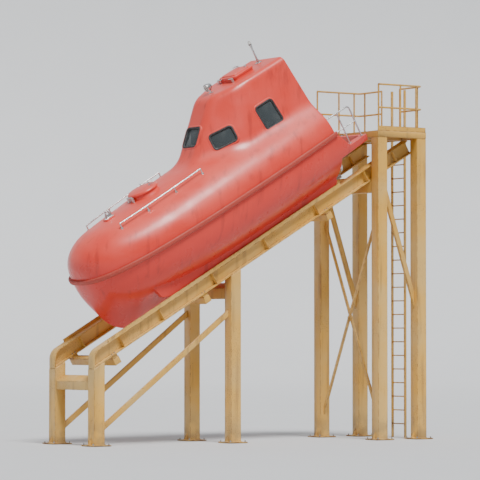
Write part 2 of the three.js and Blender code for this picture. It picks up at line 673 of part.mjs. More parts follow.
function seatBank(side) {
  const [a, b] = [side * SEAT.inner, side * SEAT.outer];
  const [y0, y1] = [Math.min(a, b), Math.max(a, b)];
  const foot = SOLE_Z + GAP;
  const top = foot + SEAT.plinth;
  const plinth = box(SEAT_ROWS[0] - 550, SEAT_ROWS.at(-1) + 120, y0, y1, foot, top);
  const [lean, thick] = [SEAT.back * SEAT.lean, SEAT.backThickness];
  const back = (x) => [
    [x, top - 10], [x + thick, top - 10], [x + thick + lean, top + SEAT.back], [x + lean, top + SEAT.back]];
  const rest = (x) => [[x - 420, top - 10], [x, top - 10], [x, top + 60], [x - 420, top + 140]];
  const backs = SEAT_ROWS.map((x) => sidePlate(back(x), y0, y1));
  const rests = SEAT_ROWS.map((x) => sidePlate(rest(x), y0 + 20, y1 - 20));
  return join(plinth, ...backs, ...rests).intersect(hullHollow(HULL_WALL + 5));
}

function engineCasing() {
  return box(1120, 1850, -270, 270, SOLE_Z + GAP, 950);
}

function helmSeat() {
  const pillar = box(2080, 2360, -140, 140, SOLE_Z + GAP, 1420);
  const squab = box(1980, 2450, -240, 240, 1400, 1500);
  const back = sidePlate([[2000, 1480], [2080, 1480], [1960, 2080], [1880, 2080]], -230, 230);
  return join(pillar, squab, back);
}

function helmConsole() {
  const stand = box(2760, 2960, -250, 250, SOLE_Z + GAP, 1650);
  const desk = sidePlate([[2700, 1640], [3000, 1640], [3000, 1900], [2900, 1900], [2700, 1740]], -260, 260);
  return join(stand, desk);
}

// Ramp pieces in the boat's frame

// Side view of a rail's front end, drawn in by inset: it bends round into the plumb face above the front leg.
function railOutline(inset) {
  const { top, start, end, bend } = RAIL;
  const tangent = bend * Math.tan((Math.PI / 2 - SLOPE) / 2);
  const centre = [end - tangent, top - bend];
  const arc = Array.from({ length: 9 }, (_, i) => {
    const angle = SLOPE + ((Math.PI / 2 - SLOPE) * i) / 8;
    return [centre[0] + (bend - inset) * Math.cos(angle), centre[1] + (bend - inset) * Math.sin(angle)];
  });
  const deep = 900;
  const plumb = [arc[0][0] + deep * SIN, arc[0][1] - deep * COS];
  return [[start - 10, top - inset], [start - 10, plumb[1]], plumb, ...arc];
}

function rampRail(side) {
  const { y, top, depth, width, flange, web, start, end } = RAIL;
  const w = width / 2;
  const half = [[w, top], [w, top - flange], [web / 2, top - flange], [web / 2, top - depth + flange],
    [w, top - depth + flange], [w, top - depth]];
  const other = half.map(([u, v]) => [-u, v]).reverse();
  const beam = alongX([...half, ...other], start, end + 300);
  const trimmed = beam.intersect(sidePlate(railOutline(0), -w, w));
  const shell = cut(sidePlate(railOutline(0), -w, w), sidePlate(railOutline(flange), -w - 1, w + 1));
  const cap = shell.intersect(box(end - 200, end + 400, -w, w, top - depth, top + 5));
  const cornerX = end + depth * Math.tan(SLOPE);
  const foot = cap.trimByPlane([0, 0, 1], top - depth).trimByPlane([-1, 0, 0], -cornerX);
  const guide = box(SKID.start, LIP.end, w - LIP.thickness, w, top - 5, LIP.height);
  const stiffeners = [-600, 300, 1800, 3300, 4800, 6300, 7400].map((x) =>
    box(x, x + 16, -w + 8, w - 8, top - depth + flange - 5, top - flange + 5));
  const mirrored = new THREE.Matrix4().makeScale(1, side, 1).setPosition(0, side * y, 0);
  return solidOf(geometryOf(join(trimmed, foot, guide, ...stiffeners)).applyMatrix4(mirrored));
}

// A cross tie under both rails, hung on packers so that the boat's keel passes above it.
function railTie(x) {
  const { width, depth, drop } = TIE;
  const half = RAIL.y + RAIL.width / 2 - 20;
  const seat = RAIL.top - RAIL.depth - GAP;
  const packers = [-1, 1].map((side) =>
    box(x + 10, x + width - 10, side * RAIL.y - 80, side * RAIL.y + 80, seat - drop - 5, seat));
  return join(box(x, x + width, -half, half, seat - drop - depth, seat - drop), ...packers);
}

// Ramp pieces that stand upright, measured from the boat's transom

const underRail = (x, below = 0) => STERN_HEIGHT - x * TAN - (RAIL.depth + 2 * GAP) / COS - below;

// A post on a square foot plate, its head cut to the slope of the rail or flat.
function leg(x0, y, heads) {
  const x1 = x0 + LEG.side;
  const [half, plate, wide] = [LEG.foot / 2, LEG.plate, LEG.side / 2];
  const middle = (x0 + x1) / 2;
  const outline = [[x0, plate - 5], [x1, plate - 5], [x1, heads[1]], [x0, heads[0]]];
  const post = sidePlate(outline, y - wide, y + wide);
  const foot = box(middle - half, middle + half, y - half, y + half, 0, plate);
  const gussets = [-1, 1].map((s) => {
    const root = middle + s * wide;
    const corners = [[root - s * 5, plate - 5], [root + s * 90, plate - 5], [root - s * 5, plate + 170]];
    return sidePlate(corners, y - 8, y + 8);
  });
  return join(post, foot, ...gussets);
}

const slopedLeg = (x1, y) => leg(x1 - LEG.side, y, [underRail(x1 - LEG.side), underRail(x1)]);
const flatLeg = (x1, y) => {
  const head = PLATFORM.top - PLATFORM.depth - GAP;
  return leg(x1 - LEG.side, y, [head, head]);
};

// A cross beam between a pair of legs, its top a distance below the rail.
function crossBeam(x1, half, below, depth) {
  const [a, b] = [x1 - LEG.side + 20, x1 - 20];
  const [highA, highB] = [underRail(a, below), underRail(b, below)];
  const outline = [[a, highB - depth], [b, highB - depth], [b, highB], [a, highA]];
  return sidePlate(outline, -half + GAP, half - GAP);
}

// A flat bar between two points of a vertical plane at y.
function brace(from, to, y, width = 110, thickness = 60) {
  const run = new THREE.Vector2(to[0] - from[0], to[1] - from[1]).normalize();
  const [u, v] = [(-run.y * width) / 2, (run.x * width) / 2];
  const outline = [
    [from[0] + u, from[1] + v], [from[0] - u, from[1] - v], [to[0] - u, to[1] - v], [to[0] + u, to[1] + v]];
  return sidePlate(outline, y - thickness / 2, y + thickness / 2);
}

function sideBrace(x0, x1, z0, z1, y) {
  const tall = 4000;
  const slab = brace([x0 - (x1 - x0), z0 - (z1 - z0)], [x1 + (x1 - x0), z1 + (z1 - z0)], y);
  return slab.intersect(box(x0 + GAP, x1 - GAP, y - tall, y + tall, -tall, 3 * tall));
}

// Two bars that cross between the rear legs, bolted back to back where they meet.
function aftCross() {
  const half = POST_Y - LEG.side / 2 - GAP;
  const x = LEG.rearX - LEG.side / 2;
  const ends = [[-half, 500], [-half, 650], [half, 4750], [half, 4600]];
  const bars = [-1, 1].map((side) => {
    const outline = ends.map(([y, z]) => [side * y, z]);
    const [near, far] = [x + side * 2, x + side * 42];
    return alongX(side > 0 ? outline : outline.reverse(), Math.min(near, far), Math.max(near, far));
  });
  const crossing = (ends[0][1] + ends[2][1]) / 2;
  return join(...bars, bar([x - 55, 0, crossing], [x + 55, 0, crossing], 30, 12));
}

function platformDeck() {
  const { top, depth, skin, front, back, half, edge } = PLATFORM;
  const slab = box(back, front, -half, half, top - depth, top);
  const pockets = [-1, 0, 1].map((i) => {
    const bay = (2 * half - edge) / 3;
    const y0 = -half + edge + (i + 1) * bay;
    return box(back + edge, front - edge, y0, y0 + bay - edge, top - depth - 10, top - skin);
  });
  const ear = [[front - 10, top - 90], [front + 60, top - 75], [front + 60, top - 35], [front - 10, top - 20]];
  const lug = sidePlate(ear, -12, 12);
  return join(cut(slab, ...pockets), lug);
}

// The ring and short chain stopper that the release hook holds, ending at the platform's lug.
function releaseLink() {
  const { eye, link, pin, half } = HOOK;
  const [x, z] = onDeck(...eye);
  const [lugX, lugZ] = [PLATFORM.front + 60 + GAP, PLATFORM.top - 55];
  const strap = [-1, 1].map((s) => bar([x, s * half, z], [lugX + 12, s * half, lugZ], link));
  const ends = [[x, z], [lugX + 12, lugZ]].map(([u, v]) => bar([u, -half - 12, v], [u, half + 12, v], pin, 12));
  return join(...strap, ...ends);
}

// A point of the boat's frame, measured upright from the transom.
const onDeck = (x, z) => [x * COS + z * SIN, STERN_HEIGHT - x * SIN + z * COS];

function guardRail(side) {
  const { top, front, back, half } = PLATFORM;
  const { height, tube, inset, gate } = GUARD;
  const y = side * (half - inset);
  const [x0, x1] = [back + inset, front - inset];
  const gateY = side * gate;
  const level = (lift) => [[x1, y, top + lift], [x0, y, top + lift], [x0, gateY, top + lift]];
  const posts = [[x1, y], [(x0 + x1) / 2, y], [x0, y], [x0, gateY]].map(([x, v]) =>
    [[x, v, top + height], [x, v, top + GAP]]);
  return join(handRail(level(height), posts, tube), handRail(level(height / 2), [], tube));
}

function ladder() {
  const { standOff, half, bar: flat, rung, pitch, above } = LADDER;
  const x = PLATFORM.back - standOff;
  const top = PLATFORM.top + above;
  const stringers = [-1, 1].map((s) =>
    box(x - flat[0] / 2, x + flat[0] / 2, s * half - flat[1] / 2, s * half + flat[1] / 2, 0, top));
  const rungs = Array.from({ length: Math.floor((PLATFORM.top - 100) / pitch) }, (_, i) =>
    bar([x, -half, (i + 1) * pitch], [x, half, (i + 1) * pitch], rung, 6));
  const ties = [-1, 1].map((s) =>
    box(x, PLATFORM.back - GAP, s * half - 10, s * half + 10, PLATFORM.top - 90, PLATFORM.top - 40));
  return join(...stringers, ...rungs, ...ties);
}

// Assembly

const model = new THREE.Group();
const upright = new THREE.Group();
const slope = new THREE.Group();
upright.position.x = STERN_X;
slope.position.z = STERN_HEIGHT;
slope.rotation.y = SLOPE;
model.add(upright);
upright.add(slope);

function place(group, name, solid, material) {
  const mesh = new THREE.Mesh(geometryOf(solid), material);
  mesh.name = name;
  group.add(mesh);
}

const sides = [['port', 1], ['starboard', -1]];

place(slope, 'hull', hull(), ORANGE);
for (const [name, moulding] of Object.entries(cabinMouldings())) place(slope, name, moulding, ORANGE);
place(slope, 'fender_belt', fenderBelt(), ORANGE);
for (const window of WINDOWS) place(slope, window.node, windowPane(window), GLASS);
place(slope, 'aft_door', aftDoor(), ORANGE);
place(slope, 'roof_hatch', roofHatchLid(), ORANGE);
place(slope, 'fore_hatch', foreHatchLid(), ORANGE);
place(slope, 'propeller', propeller(), BRONZE);
place(slope, 'steering_nozzle', steeringNozzle(), STEEL);
place(slope, 'skeg_shoe', skeg(), STEEL);
place(slope, 'stern_tube', sternTube(), STEEL);
place(slope, 'release_hook', releaseHook(), STEEL);
place(slope, 'bow_lifting_eye', liftingEye(EYE.bowX, bowEyeZ()), STEEL);
place(slope, 'stern_lifting_eye', liftingEye(EYE.sternX, AFT_DECK.z + GAP), STEEL);
place(slope, 'roof_mast', roofMast(), STEEL);
place(slope, 'position_light', positionLight(), LAMP);
place(slope, 'search_light', searchLight(), STEEL);
place(slope, 'cabin_sole', cabinSole(), GREY);
place(slope, 'engine_casing', engineCasing(), GREY);
place(slope, 'helm_seat', helmSeat(), SEAT_GREY);
place(slope, 'helm_console', helmConsole(), GREY);
for (const [name, side] of sides) {
  place(slope, `grab_rail_${name}`, grabRail(side), STEEL);
  place(slope, `stern_rail_${name}`, sternRail(side), STEEL);
  place(slope, `seats_${name}`, seatBank(side), SEAT_GREY);
  place(slope, `ramp_rail_${name}`, rampRail(side), YELLOW);
}
for (const [i, x] of TIE.x.entries()) place(slope, `rail_tie_${i + 1}`, railTie(x), YELLOW);

for (const [name, side] of sides) {
  place(upright, `front_leg_${name}`, slopedLeg(LEG.frontX, side * RAIL.y), YELLOW);
  place(upright, `middle_leg_${name}`, slopedLeg(LEG.midX, side * RAIL.y), YELLOW);
  place(upright, `rear_leg_${name}`, flatLeg(LEG.rearX, side * POST_Y), YELLOW);
  place(upright, `platform_post_${name}`, flatLeg(PLATFORM.back + LEG.side, side * POST_Y), YELLOW);
  const inner = side * RAIL.y;
  place(upright, `fore_brace_${name}`,
    sideBrace(LEG.midX, LEG.frontX - LEG.side, 2700, 350, inner), YELLOW);
  place(upright, `post_brace_${name}`,
    sideBrace(PLATFORM.back + LEG.side, LEG.rearX - LEG.side, 3000, 5400, side * POST_Y), YELLOW);
  place(upright, `guard_rail_${name}`, guardRail(side), YELLOW);
}
place(upright, 'front_beam', crossBeam(LEG.frontX, RAIL.y - LEG.side / 2, 260, 180), YELLOW);
place(upright, 'middle_beam', crossBeam(LEG.midX, RAIL.y - LEG.side / 2, 260, 220), YELLOW);
place(upright, 'rear_beam', crossBeam(LEG.rearX, POST_Y - LEG.side / 2, 0, 240), YELLOW);
place(upright, 'cross_brace', aftCross(), YELLOW);
place(upright, 'platform', platformDeck(), YELLOW);
place(upright, 'release_link', releaseLink(), BLACK);
place(upright, 'ladder', ladder(), YELLOW);

export default model;
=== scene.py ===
"""Looks of the free-fall lifeboat on its launching ramp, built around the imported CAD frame.

Lengths are in metres. Boat pieces are drawn in the boat's own frame: x forward from the transom, y to port,
z up from the foot of the skids. Upright ramp pieces are measured from the transom along the deck: x towards
the bow, z up from the deck.
"""
import json
import math

import bmesh
import bpy
import numpy as np
from mathutils import Matrix, Vector


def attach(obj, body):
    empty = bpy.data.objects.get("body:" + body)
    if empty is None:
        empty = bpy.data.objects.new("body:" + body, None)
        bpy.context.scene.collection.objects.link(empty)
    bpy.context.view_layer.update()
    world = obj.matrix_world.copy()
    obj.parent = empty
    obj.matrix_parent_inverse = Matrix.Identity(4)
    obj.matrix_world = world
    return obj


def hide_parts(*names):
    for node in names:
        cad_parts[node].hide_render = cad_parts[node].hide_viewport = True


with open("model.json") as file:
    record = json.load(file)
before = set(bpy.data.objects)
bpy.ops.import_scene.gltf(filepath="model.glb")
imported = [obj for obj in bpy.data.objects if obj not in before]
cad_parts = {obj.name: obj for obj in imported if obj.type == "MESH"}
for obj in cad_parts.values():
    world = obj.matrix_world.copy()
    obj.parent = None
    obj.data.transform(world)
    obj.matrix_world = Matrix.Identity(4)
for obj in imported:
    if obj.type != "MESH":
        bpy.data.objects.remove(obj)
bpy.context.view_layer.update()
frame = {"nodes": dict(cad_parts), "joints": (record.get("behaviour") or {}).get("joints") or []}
NODES = frame["nodes"]
JOINTS = {joint["name"]: joint for joint in frame["joints"]}
ROOT = "boat_and_ramp"
ALONG, ACROSS, UPRIGHT = (1, 0, 0), (0, 1, 0), (0, 0, 1)
BOTH_SIDES = (-1, 1)

# The boat's frame, from the propeller's and the nozzle's axes

PROPELLER = Vector((0.430, 0.0, 0.230))
FORWARD = Vector(JOINTS["propeller_spin"]["axis"]).normalized()
UP = Vector(JOINTS["nozzle_steer"]["axis"]).normalized()
PORT = UP.cross(FORWARD)
BOAT = Matrix((FORWARD, PORT, UP)).transposed().to_4x4()
BOAT.translation = Vector(JOINTS["propeller_spin"]["pos_m"]) - BOAT.to_3x3() @ PROPELLER
DECK = Matrix.Translation((BOAT.translation.x, 0, 0))

# The boat's lines

LENGTH, BEAM, STERN_BEAM = 7.2, 2.72, 2.30
GUNWALE, KEEL, CROWN, ROOF = 1.12, -0.33, 2.02, 3.02
WIDEST_X, NOSE_POWER = 3.2, 2.8
BOW_SHOULDER_X, NOSE_TIP = 6.2, 0.012
KEEL_RISE_X, STEM_FOOT = 6.35, 0.58
DECK_KNEE_X, DECK_BOW, NOSE_TOP, NOSE_DROP_X = 3.7, 1.86, 1.35, 6.35
CHINE = {"z": 0.40, "bow": 0.72, "rise_x": 3.6, "out": 0.99, "weight": 2.2}
SHOULDER = {"out": 0.99, "weight": 0.85}
CANOPY_INSET, HULL_WALL, CANOPY_WALL = 0.010, 0.060, 0.045
BULKHEAD_X, HOLLOW_X = 0.8, 1.07
COUNTER = {"foot_x": 1.01, "rake": 0.15, "z": 0.56}
AFT_DECK_Z, AFT_DECK_FRONT = 0.70, 0.54
SKID_Y = 0.78

# Wheelhouse tower: point on each plane at its foot, heading from forward and lean from upright in degrees

TOWER_FOOT_Z = 2.08
TOWER = {
    "front": ((3.70, 0.0), 0, 47),
    "port_bow": ((3.22, 0.592), 63, 27),
    "starboard_bow": ((3.22, -0.592), -63, 27),
    "port": ((1.80, 0.83), 90, 12),
    "starboard": ((1.80, -0.83), -90, 12),
}
EDGE_ROUNDING, FOOT_FILLET = 0.12, 0.17

# Openings: each window's plane, a point near its middle, and its width and height

WINDOWS = {
    "window_front": ("front", (3.30, 0, 2.40), (0.48, 0.42)),
    "window_bow_port": ("port_bow", (3.01, 0.62, 2.21), (0.52, 0.34)),
    "window_bow_starboard": ("starboard_bow", (3.01, -0.62, 2.21), (0.52, 0.34)),
    "window_side_port": ("port", (1.85, 0.80, 2.15), (0.47, 0.52)),
    "window_side_starboard": ("starboard", (1.85, -0.80, 2.15), (0.47, 0.52)),
}
WINDOW_CORNER = 0.07
DOOR = {"width": 0.70, "foot": 1.19, "height": 1.33, "thickness": 0.045, "rim": 0.035, "gap": 0.006}
ROOF_HATCH = {"x": 1.65, "side": 0.60, "hole": 0.52, "corner": 0.06, "thickness": 0.05, "coaming": 0.045}
FORE_HATCH = {"x": 4.95, "radius": 0.34, "hole": 0.275, "rim": 0.32, "coaming": 0.06}
LID_GAP = 0.006

# The ramp

RAIL_FOOT_Z, RAIL_TIES = -0.2743, (1.5, 5.1, 7.62)
PLATFORM_TOP = 6.64


def half_beam(x):
    if x <= WIDEST_X:
        return BEAM / 2 - (BEAM - STERN_BEAM) / 2 * ((WIDEST_X - x) / WIDEST_X) ** 2
    ahead = min(1.0, (x - WIDEST_X) / (LENGTH - WIDEST_X))
    return BEAM / 2 * (1 - ahead**NOSE_POWER) ** (1 / NOSE_POWER)


def quarter_rise(x, start):
    share = min(1.0, max(0.0, (x - start) / (LENGTH - start)))
    return 1 - math.sqrt(1 - share * share)


def keel_line(x):
    return KEEL + (STEM_FOOT - KEEL) * quarter_rise(x, KEEL_RISE_X)


def chine_line(x):
    share = max(0.0, (x - CHINE["rise_x"]) / (LENGTH - CHINE["rise_x"]))
    return CHINE["z"] + (CHINE["bow"] - CHINE["z"]) * share * share


def crown_line(x):
    slope = (CROWN - DECK_BOW) / (LENGTH - DECK_KNEE_X)
    drop = (DECK_BOW - NOSE_TOP) * quarter_rise(x, NOSE_DROP_X)
    return CROWN - slope * max(0.0, x - DECK_KNEE_X) - drop


def corner_arc(start, corner, end, weight, steps):
    """Points of a conic arc from start to end, pulled towards the corner."""
    t = np.linspace(0, 1, steps + 1)[:, None]
    a, b, c = (1 - t) ** 2, 2 * weight * t * (1 - t), t * t
    return (a * np.array(start) + b * np.array(corner) + c * np.array(end)) / (a + b + c)


def smooth_max(a, b, width):
    share = np.maximum(width - np.abs(a - b), 0) / width
    return np.maximum(a, b) + share * share * width / 4


def smooth_min(a, b, width):
    return -smooth_max(-a, -b, width)


# Shapes, as (vertices, faces)

def circle(count):
    """Angles evenly round a circle."""
    return np.linspace(0, 2 * math.pi, count, endpoint=False)


def merged(*shapes):
    """Several shapes as one."""
    verts, faces = [], []
    for v, f in shapes:
        faces += [[i + len(verts) for i in face] for face in f]
        verts += v
    return verts, faces


def moved(shape, matrix):
    return [tuple(matrix @ Vector(p)) for p in shape[0]], shape[1]


def shifted(shape, *by):
    return moved(shape, Matrix.Translation(by))


def skin(rings, spans):
    """Faces from ring to ring over so many spans. The ring after the last is the first."""
    count, total = len(rings[0]), len(rings)
    faces = []
    for r in range(spans):
        for i in range(count):
            a, b = r * count + i, r * count + (i + 1) % count
            step = (r + 1) % total * count - r * count
            faces.append([a, b, b + step, a + step])
    return [tuple(p) for ring in rings for p in ring], faces


def loft(rings, caps=True):
    """A skin through rings of equally many points, with a face over each end."""
    count, last = len(rings[0]), len(rings) - 1
    verts, faces = skin(rings, last)
    if caps:
        faces += [list(range(count))[::-1], [last * count + i for i in range(count)]]
    return verts, faces


def around(rings):
    """A skin through rings that run in a circle, with no ends."""
    return skin(rings, len(rings))


def bent(points, radius, steps=6):
    """A polyline whose inner corners are rounded."""
    points = [Vector(p) for p in points]
    path = [points[0]]
    for before, here, after in zip(points, points[1:], points[2:]):
        reach = min(radius, (here - before).length * 0.45, (after - here).length * 0.45)
        a = here + (before - here).normalized() * reach
        c = here + (after - here).normalized() * reach
        path += [a.lerp(here, t).lerp(here.lerp(c, t), t) for t in np.linspace(0, 1, steps + 1)]
    return path + [points[-1]]


def sweep(path, profile, closed=False):
    """A profile of (side, up) offsets carried along a level path."""
    path = [Vector(p) for p in path]
    rings = []
    for i, here in enumerate(path):
        before = path[i - 1] if closed or i else here
        after = path[(i + 1) % len(path)] if closed or i + 1 < len(path) else here
        run = (after - before).normalized()
        side = run.cross(Vector(UPRIGHT)).normalized()
        lift = side.cross(run)
        rings.append([here + side * u + lift * v for u, v in profile])
    return around(rings) if closed else loft(rings)


def tube(points, radius, sides=14, bend=0.0):
    """A round bar along a polyline, its frame carried along without twist."""
    path = bent(points, bend) if bend else [Vector(p) for p in points]
    side = (path[1] - path[0]).orthogonal().normalized()
    angles = circle(sides)
    rings = []
    for i, here in enumerate(path):
        run = (path[min(i + 1, len(path) - 1)] - path[max(i - 1, 0)]).normalized()
        side = (side - run * side.dot(run)).normalized()
        lift = run.cross(side)
        rings.append([here + (side * math.cos(a) + lift * math.sin(a)) * radius for a in angles])
    return loft(rings)


def lathe(profile, centre, axis=UPRIGHT, segments=48, closed=False):
    """A profile of (radius, distance) points spun about an axis. An open one gets a face over each end."""
    turn = Vector(UPRIGHT).rotation_difference(Vector(axis)).to_matrix()
    rings = [[Vector(centre) + turn @ Vector((r * math.cos(a), r * math.sin(a), d)) for a in circle(segments)]
             for r, d in profile]
    return around(rings) if closed else loft(rings)


def pin(radius, low, high, centre, axis=UPRIGHT, segments=48):
    """A round bar from low to high along an axis."""
    return lathe([(0.0, low), (radius, low), (radius, high), (0.0, high)], centre, axis, segments)


def rounded(width, height, radius, steps=6):
    """The outline of a rectangle with round corners, centred on 0, 0."""
    points = []
    for sx, sy, first in ((1, 1, 0), (-1, 1, 90), (-1, -1, 180), (1, -1, 270)):
        for a in np.radians(np.linspace(first, first + 90, steps + 1)):
            points.append((sx * (width / 2 - radius) + radius * math.cos(a),
                           sy * (height / 2 - radius) + radius * math.sin(a)))
    return points


def slab(width, height, corner, low, high, edge=0.0, steps=6):
    """A rounded rectangle from low to high, with its upper edge rounded over."""
    rings = [[(u, v, low) for u, v in rounded(width, height, corner, steps)]]
    for a in np.radians(np.linspace(0, 90, 5 if edge else 1)):
        inset = edge * (1 - math.cos(a))
        outline = rounded(width - 2 * inset, height - 2 * inset, max(corner - inset, 1e-4), steps)
        rings.append([(u, v, high - edge + edge * math.sin(a)) for u, v in outline])
    return loft(rings)


def rim(width, height, corner, profile, matrix):
    """A moulding of (outwards, up) points run round a rounded rectangle."""
    path = [(u, v, 0) for u, v in rounded(width, height, corner, steps=8)]
    return moved(sweep(path, profile, closed=True), matrix)


def block(x0, x1, y0, y1, z0, z1):
    ring = [(x0, y0), (x1, y0), (x1, y1), (x0, y1)]
    return loft([[(x, y, z) for x, y in ring] for z in (z0, z1)])


def prism(outline, y0, y1):
    """An outline of (x, z) points as thick as y0 to y1."""
    return loft([[(x, y, z) for x, z in outline] for y in (y1, y0)])


# Objects

def make(name, shape, place=BOAT):
    mesh = bpy.data.meshes.new(name)
    mesh.from_pydata(shape[0], [], shape[1])
    mesh.transform(place)
    mesh.validate()
    obj = bpy.data.objects.new(name, mesh)
    bpy.context.scene.collection.objects.link(obj)
    return obj


def fixed_normals(obj):
    """Faces turned outwards."""
    work = bmesh.new()
    work.from_mesh(obj.data)
    bmesh.ops.recalc_face_normals(work, faces=work.faces)
    work.to_mesh(obj.data)
    work.free()
    return obj


def apply_modifiers(obj):
    depsgraph = bpy.context.evaluated_depsgraph_get()
    mesh = bpy.data.meshes.new_from_object(obj.evaluated_get(depsgraph))
    obj.modifiers.clear()
    obj.data = mesh


def carved(obj, room, *cutters):
    """obj in gelcoat less a room, whose walls get the cabin's flowcoat, and less each other cutter."""
    fixed_normals(obj)
    obj.data.materials.append(SHELL)
    obj.data.materials.append(CABIN)
    for shape in (room, *cutters):
        tool = fixed_normals(make("cutter", shape))
        tool.data.materials.append(CABIN if shape is room else SHELL)
        cut = obj.modifiers.new("cut", "BOOLEAN")
        cut.operation, cut.solver, cut.object = "DIFFERENCE", "EXACT", tool
        apply_modifiers(obj)
        bpy.data.objects.remove(tool)
    return obj


def soften(obj, width=0.0, segments=2, angle=35):
    """Smooth faces, with rounded edges where width is given and sharp ones elsewhere."""
    obj.data.shade_smooth()
    obj.data.set_sharp_from_angle(angle=math.radians(angle))
    if width:
        bevel = obj.modifiers.new("edges", "BEVEL")
        bevel.width, bevel.segments, bevel.limit_method = width, segments, "ANGLE"
        bevel.angle_limit = math.radians(angle)
        bevel.harden_normals = True


def add(name, shape, material, body=ROOT, place=BOAT, bevel=0.0, angle=35, replaces=()):
    """A finished piece: its shape, material and body, and the CAD nodes that it stands for."""
    obj = shape if isinstance(shape, bpy.types.Object) else fixed_normals(make(name, shape, place))
    obj.name = name
    soften(obj, bevel, angle=angle)
    if not obj.data.materials:
        obj.data.materials.append(material)
    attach(obj, body)
    if replaces:
        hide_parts(*replaces)


# Surfaces

class Surface:
    """A material under construction. Methods that work out a value return the socket that carries it."""

    def __init__(self, name, **values):
        self.material = bpy.data.materials.new(name)
        self.material.use_nodes = True
        self.tree = self.material.node_tree
        self.shader = self.tree.nodes["Principled BSDF"]
        coordinates = self.tree.nodes.new("ShaderNodeTexCoord")
        self.place, self.normal = coordinates.outputs["Object"], coordinates.outputs["Normal"]
        for socket, value in values.items():
            self.set(socket.replace("_", " "), value)

    def set(self, socket, value):
        self.feed(self.shader.inputs[socket], value)
        return self

    def feed(self, socket, value):
        if isinstance(value, bpy.types.NodeSocket):
            self.tree.links.new(value, socket)
        elif socket.type == "RGBA":
            socket.default_value = (*value[:3], 1)
        else:
            socket.default_value = value

    def node(self, kind, inputs, out=0, **settings):
        node = self.tree.nodes.new(kind)
        for key, value in settings.items():
            setattr(node, key, value)
        for key, value in inputs.items():
            self.feed(node.inputs[key], value)
        return node.outputs[out]

    def noise(self, scale, detail, stretch=(1, 1, 1), shift=(0, 0, 0)):
        at = self.node("ShaderNodeMapping", {"Vector": self.place, "Scale": stretch, "Location": shift})
        return self.node("ShaderNodeTexNoise", {"Vector": at, "Scale": scale, "Detail": detail})

    def band(self, value, low, high, least=0.0, most=1.0):
        """least at low and beyond, most at high and beyond, and smooth between them."""
        ends = {"Value": value, "From Min": low, "From Max": high, "To Min": least, "To Max": most}
        return self.node("ShaderNodeMapRange", ends, interpolation_type="SMOOTHSTEP")

    def math(self, operation, a, b=0.0):
        return self.node("ShaderNodeMath", {0: a, 1: b}, operation=operation)

    def plus(self, a, b):
        return self.math("ADD", a, b)

    def times(self, a, b):
        return self.math("MULTIPLY", a, b)

    def mix(self, share, a, b):
        return self.node("ShaderNodeMix", {0: share, 6: a, 7: b}, out=2, data_type="RGBA")

    def colour(self, base, *layers):
        """Sets the base colour, under layers of (where, share, colour)."""
        for where, share, over in layers:
            base = self.mix(self.times(where, share), base, over)
        self.set("Base Color", base)

    def part(self, vector, axis):
        return self.node("ShaderNodeSeparateXYZ", {0: vector}, out="XYZ".index(axis))

    def upward(self):
        return self.part(self.normal, "Z")

    def streaks(self, scale, detail, squeeze, low, high, shift=(0, 0, 0)):
        """Upright runs on steep faces."""
        steep = self.band(self.math("ABSOLUTE", self.upward()), 0.9, 0.5)
        return self.times(self.band(self.noise(scale, detail, (1, 1, squeeze), shift), low, high), steep)

    def patchy(self, scale, detail, least, most, high=0.7):
        """A value that drifts from least to most over the surface."""
        return self.band(self.noise(scale, detail), 0.3, high, least, most)

    def edges(self, radius):
        """1 along edges sharper than radius, 0 on open faces."""
        eased = self.node("ShaderNodeBevel", {"Radius": radius}, samples=4)
        flat = self.node("ShaderNodeNewGeometry", {}, out="Normal")
        both = {0: eased, 1: flat}
        likeness = self.node("ShaderNodeVectorMath", both, out="Value", operation="DOT_PRODUCT")
        return self.band(likeness, 0.985, 0.93)

    def bump(self, *layers):
        """Layers of (height, strength, distance), one on another."""
        normal = None
        for height, strength, distance in layers:
            inputs = {"Height": height, "Strength": strength, "Distance": distance}
            if normal is not None:
                inputs["Normal"] = normal
            normal = self.node("ShaderNodeBump", inputs)
        return self.set("Normal", normal)


def gelcoat(name, fresh, faded_and_lit, grime):
    """Sprayed gelcoat: chalked on top by the sun, streaked by rain, with a faint orange peel. The paling by
    how far a face looks up is partly painted light and shade: tops paler, faces that look down left deep red.
    """
    s = Surface(name, Coat_Weight=0.22, Coat_Roughness=0.20, IOR=1.45)
    # Sun chalking and painted light and shade in one mask: faces that look up get the pale colour, faces that
    # look down keep the deep first colour as painted shade
    sun_chalk_and_painted_shade = s.times(s.band(s.upward(), -0.4, 0.75), s.band(s.noise(1.3, 4), 0.25, 0.7, 0.45, 1.0))
    dark_runs = s.streaks(7, 5, 0.10, 0.52, 0.74)
    pale_runs = s.streaks(11, 4, 0.08, 0.60, 0.78, shift=(4, 7, 1))
    specks = s.band(s.noise(55, 3), 0.62, 0.74)
    s.colour(fresh, (sun_chalk_and_painted_shade, 0.6, faded_and_lit), (dark_runs, 0.34, grime), (pale_runs, 0.22, faded_and_lit),
             (specks, 0.20, grime), (s.edges(0.03), 0.22, faded_and_lit))
    s.set("Roughness", s.plus(s.patchy(2.6, 5, 0.24, 0.40, high=0.75), s.times(sun_chalk_and_painted_shade, 0.16)))
    return s.bump((s.noise(2.2, 2), 0.35, 0.010), (s.noise(48, 2), 0.10, 0.0015)).material


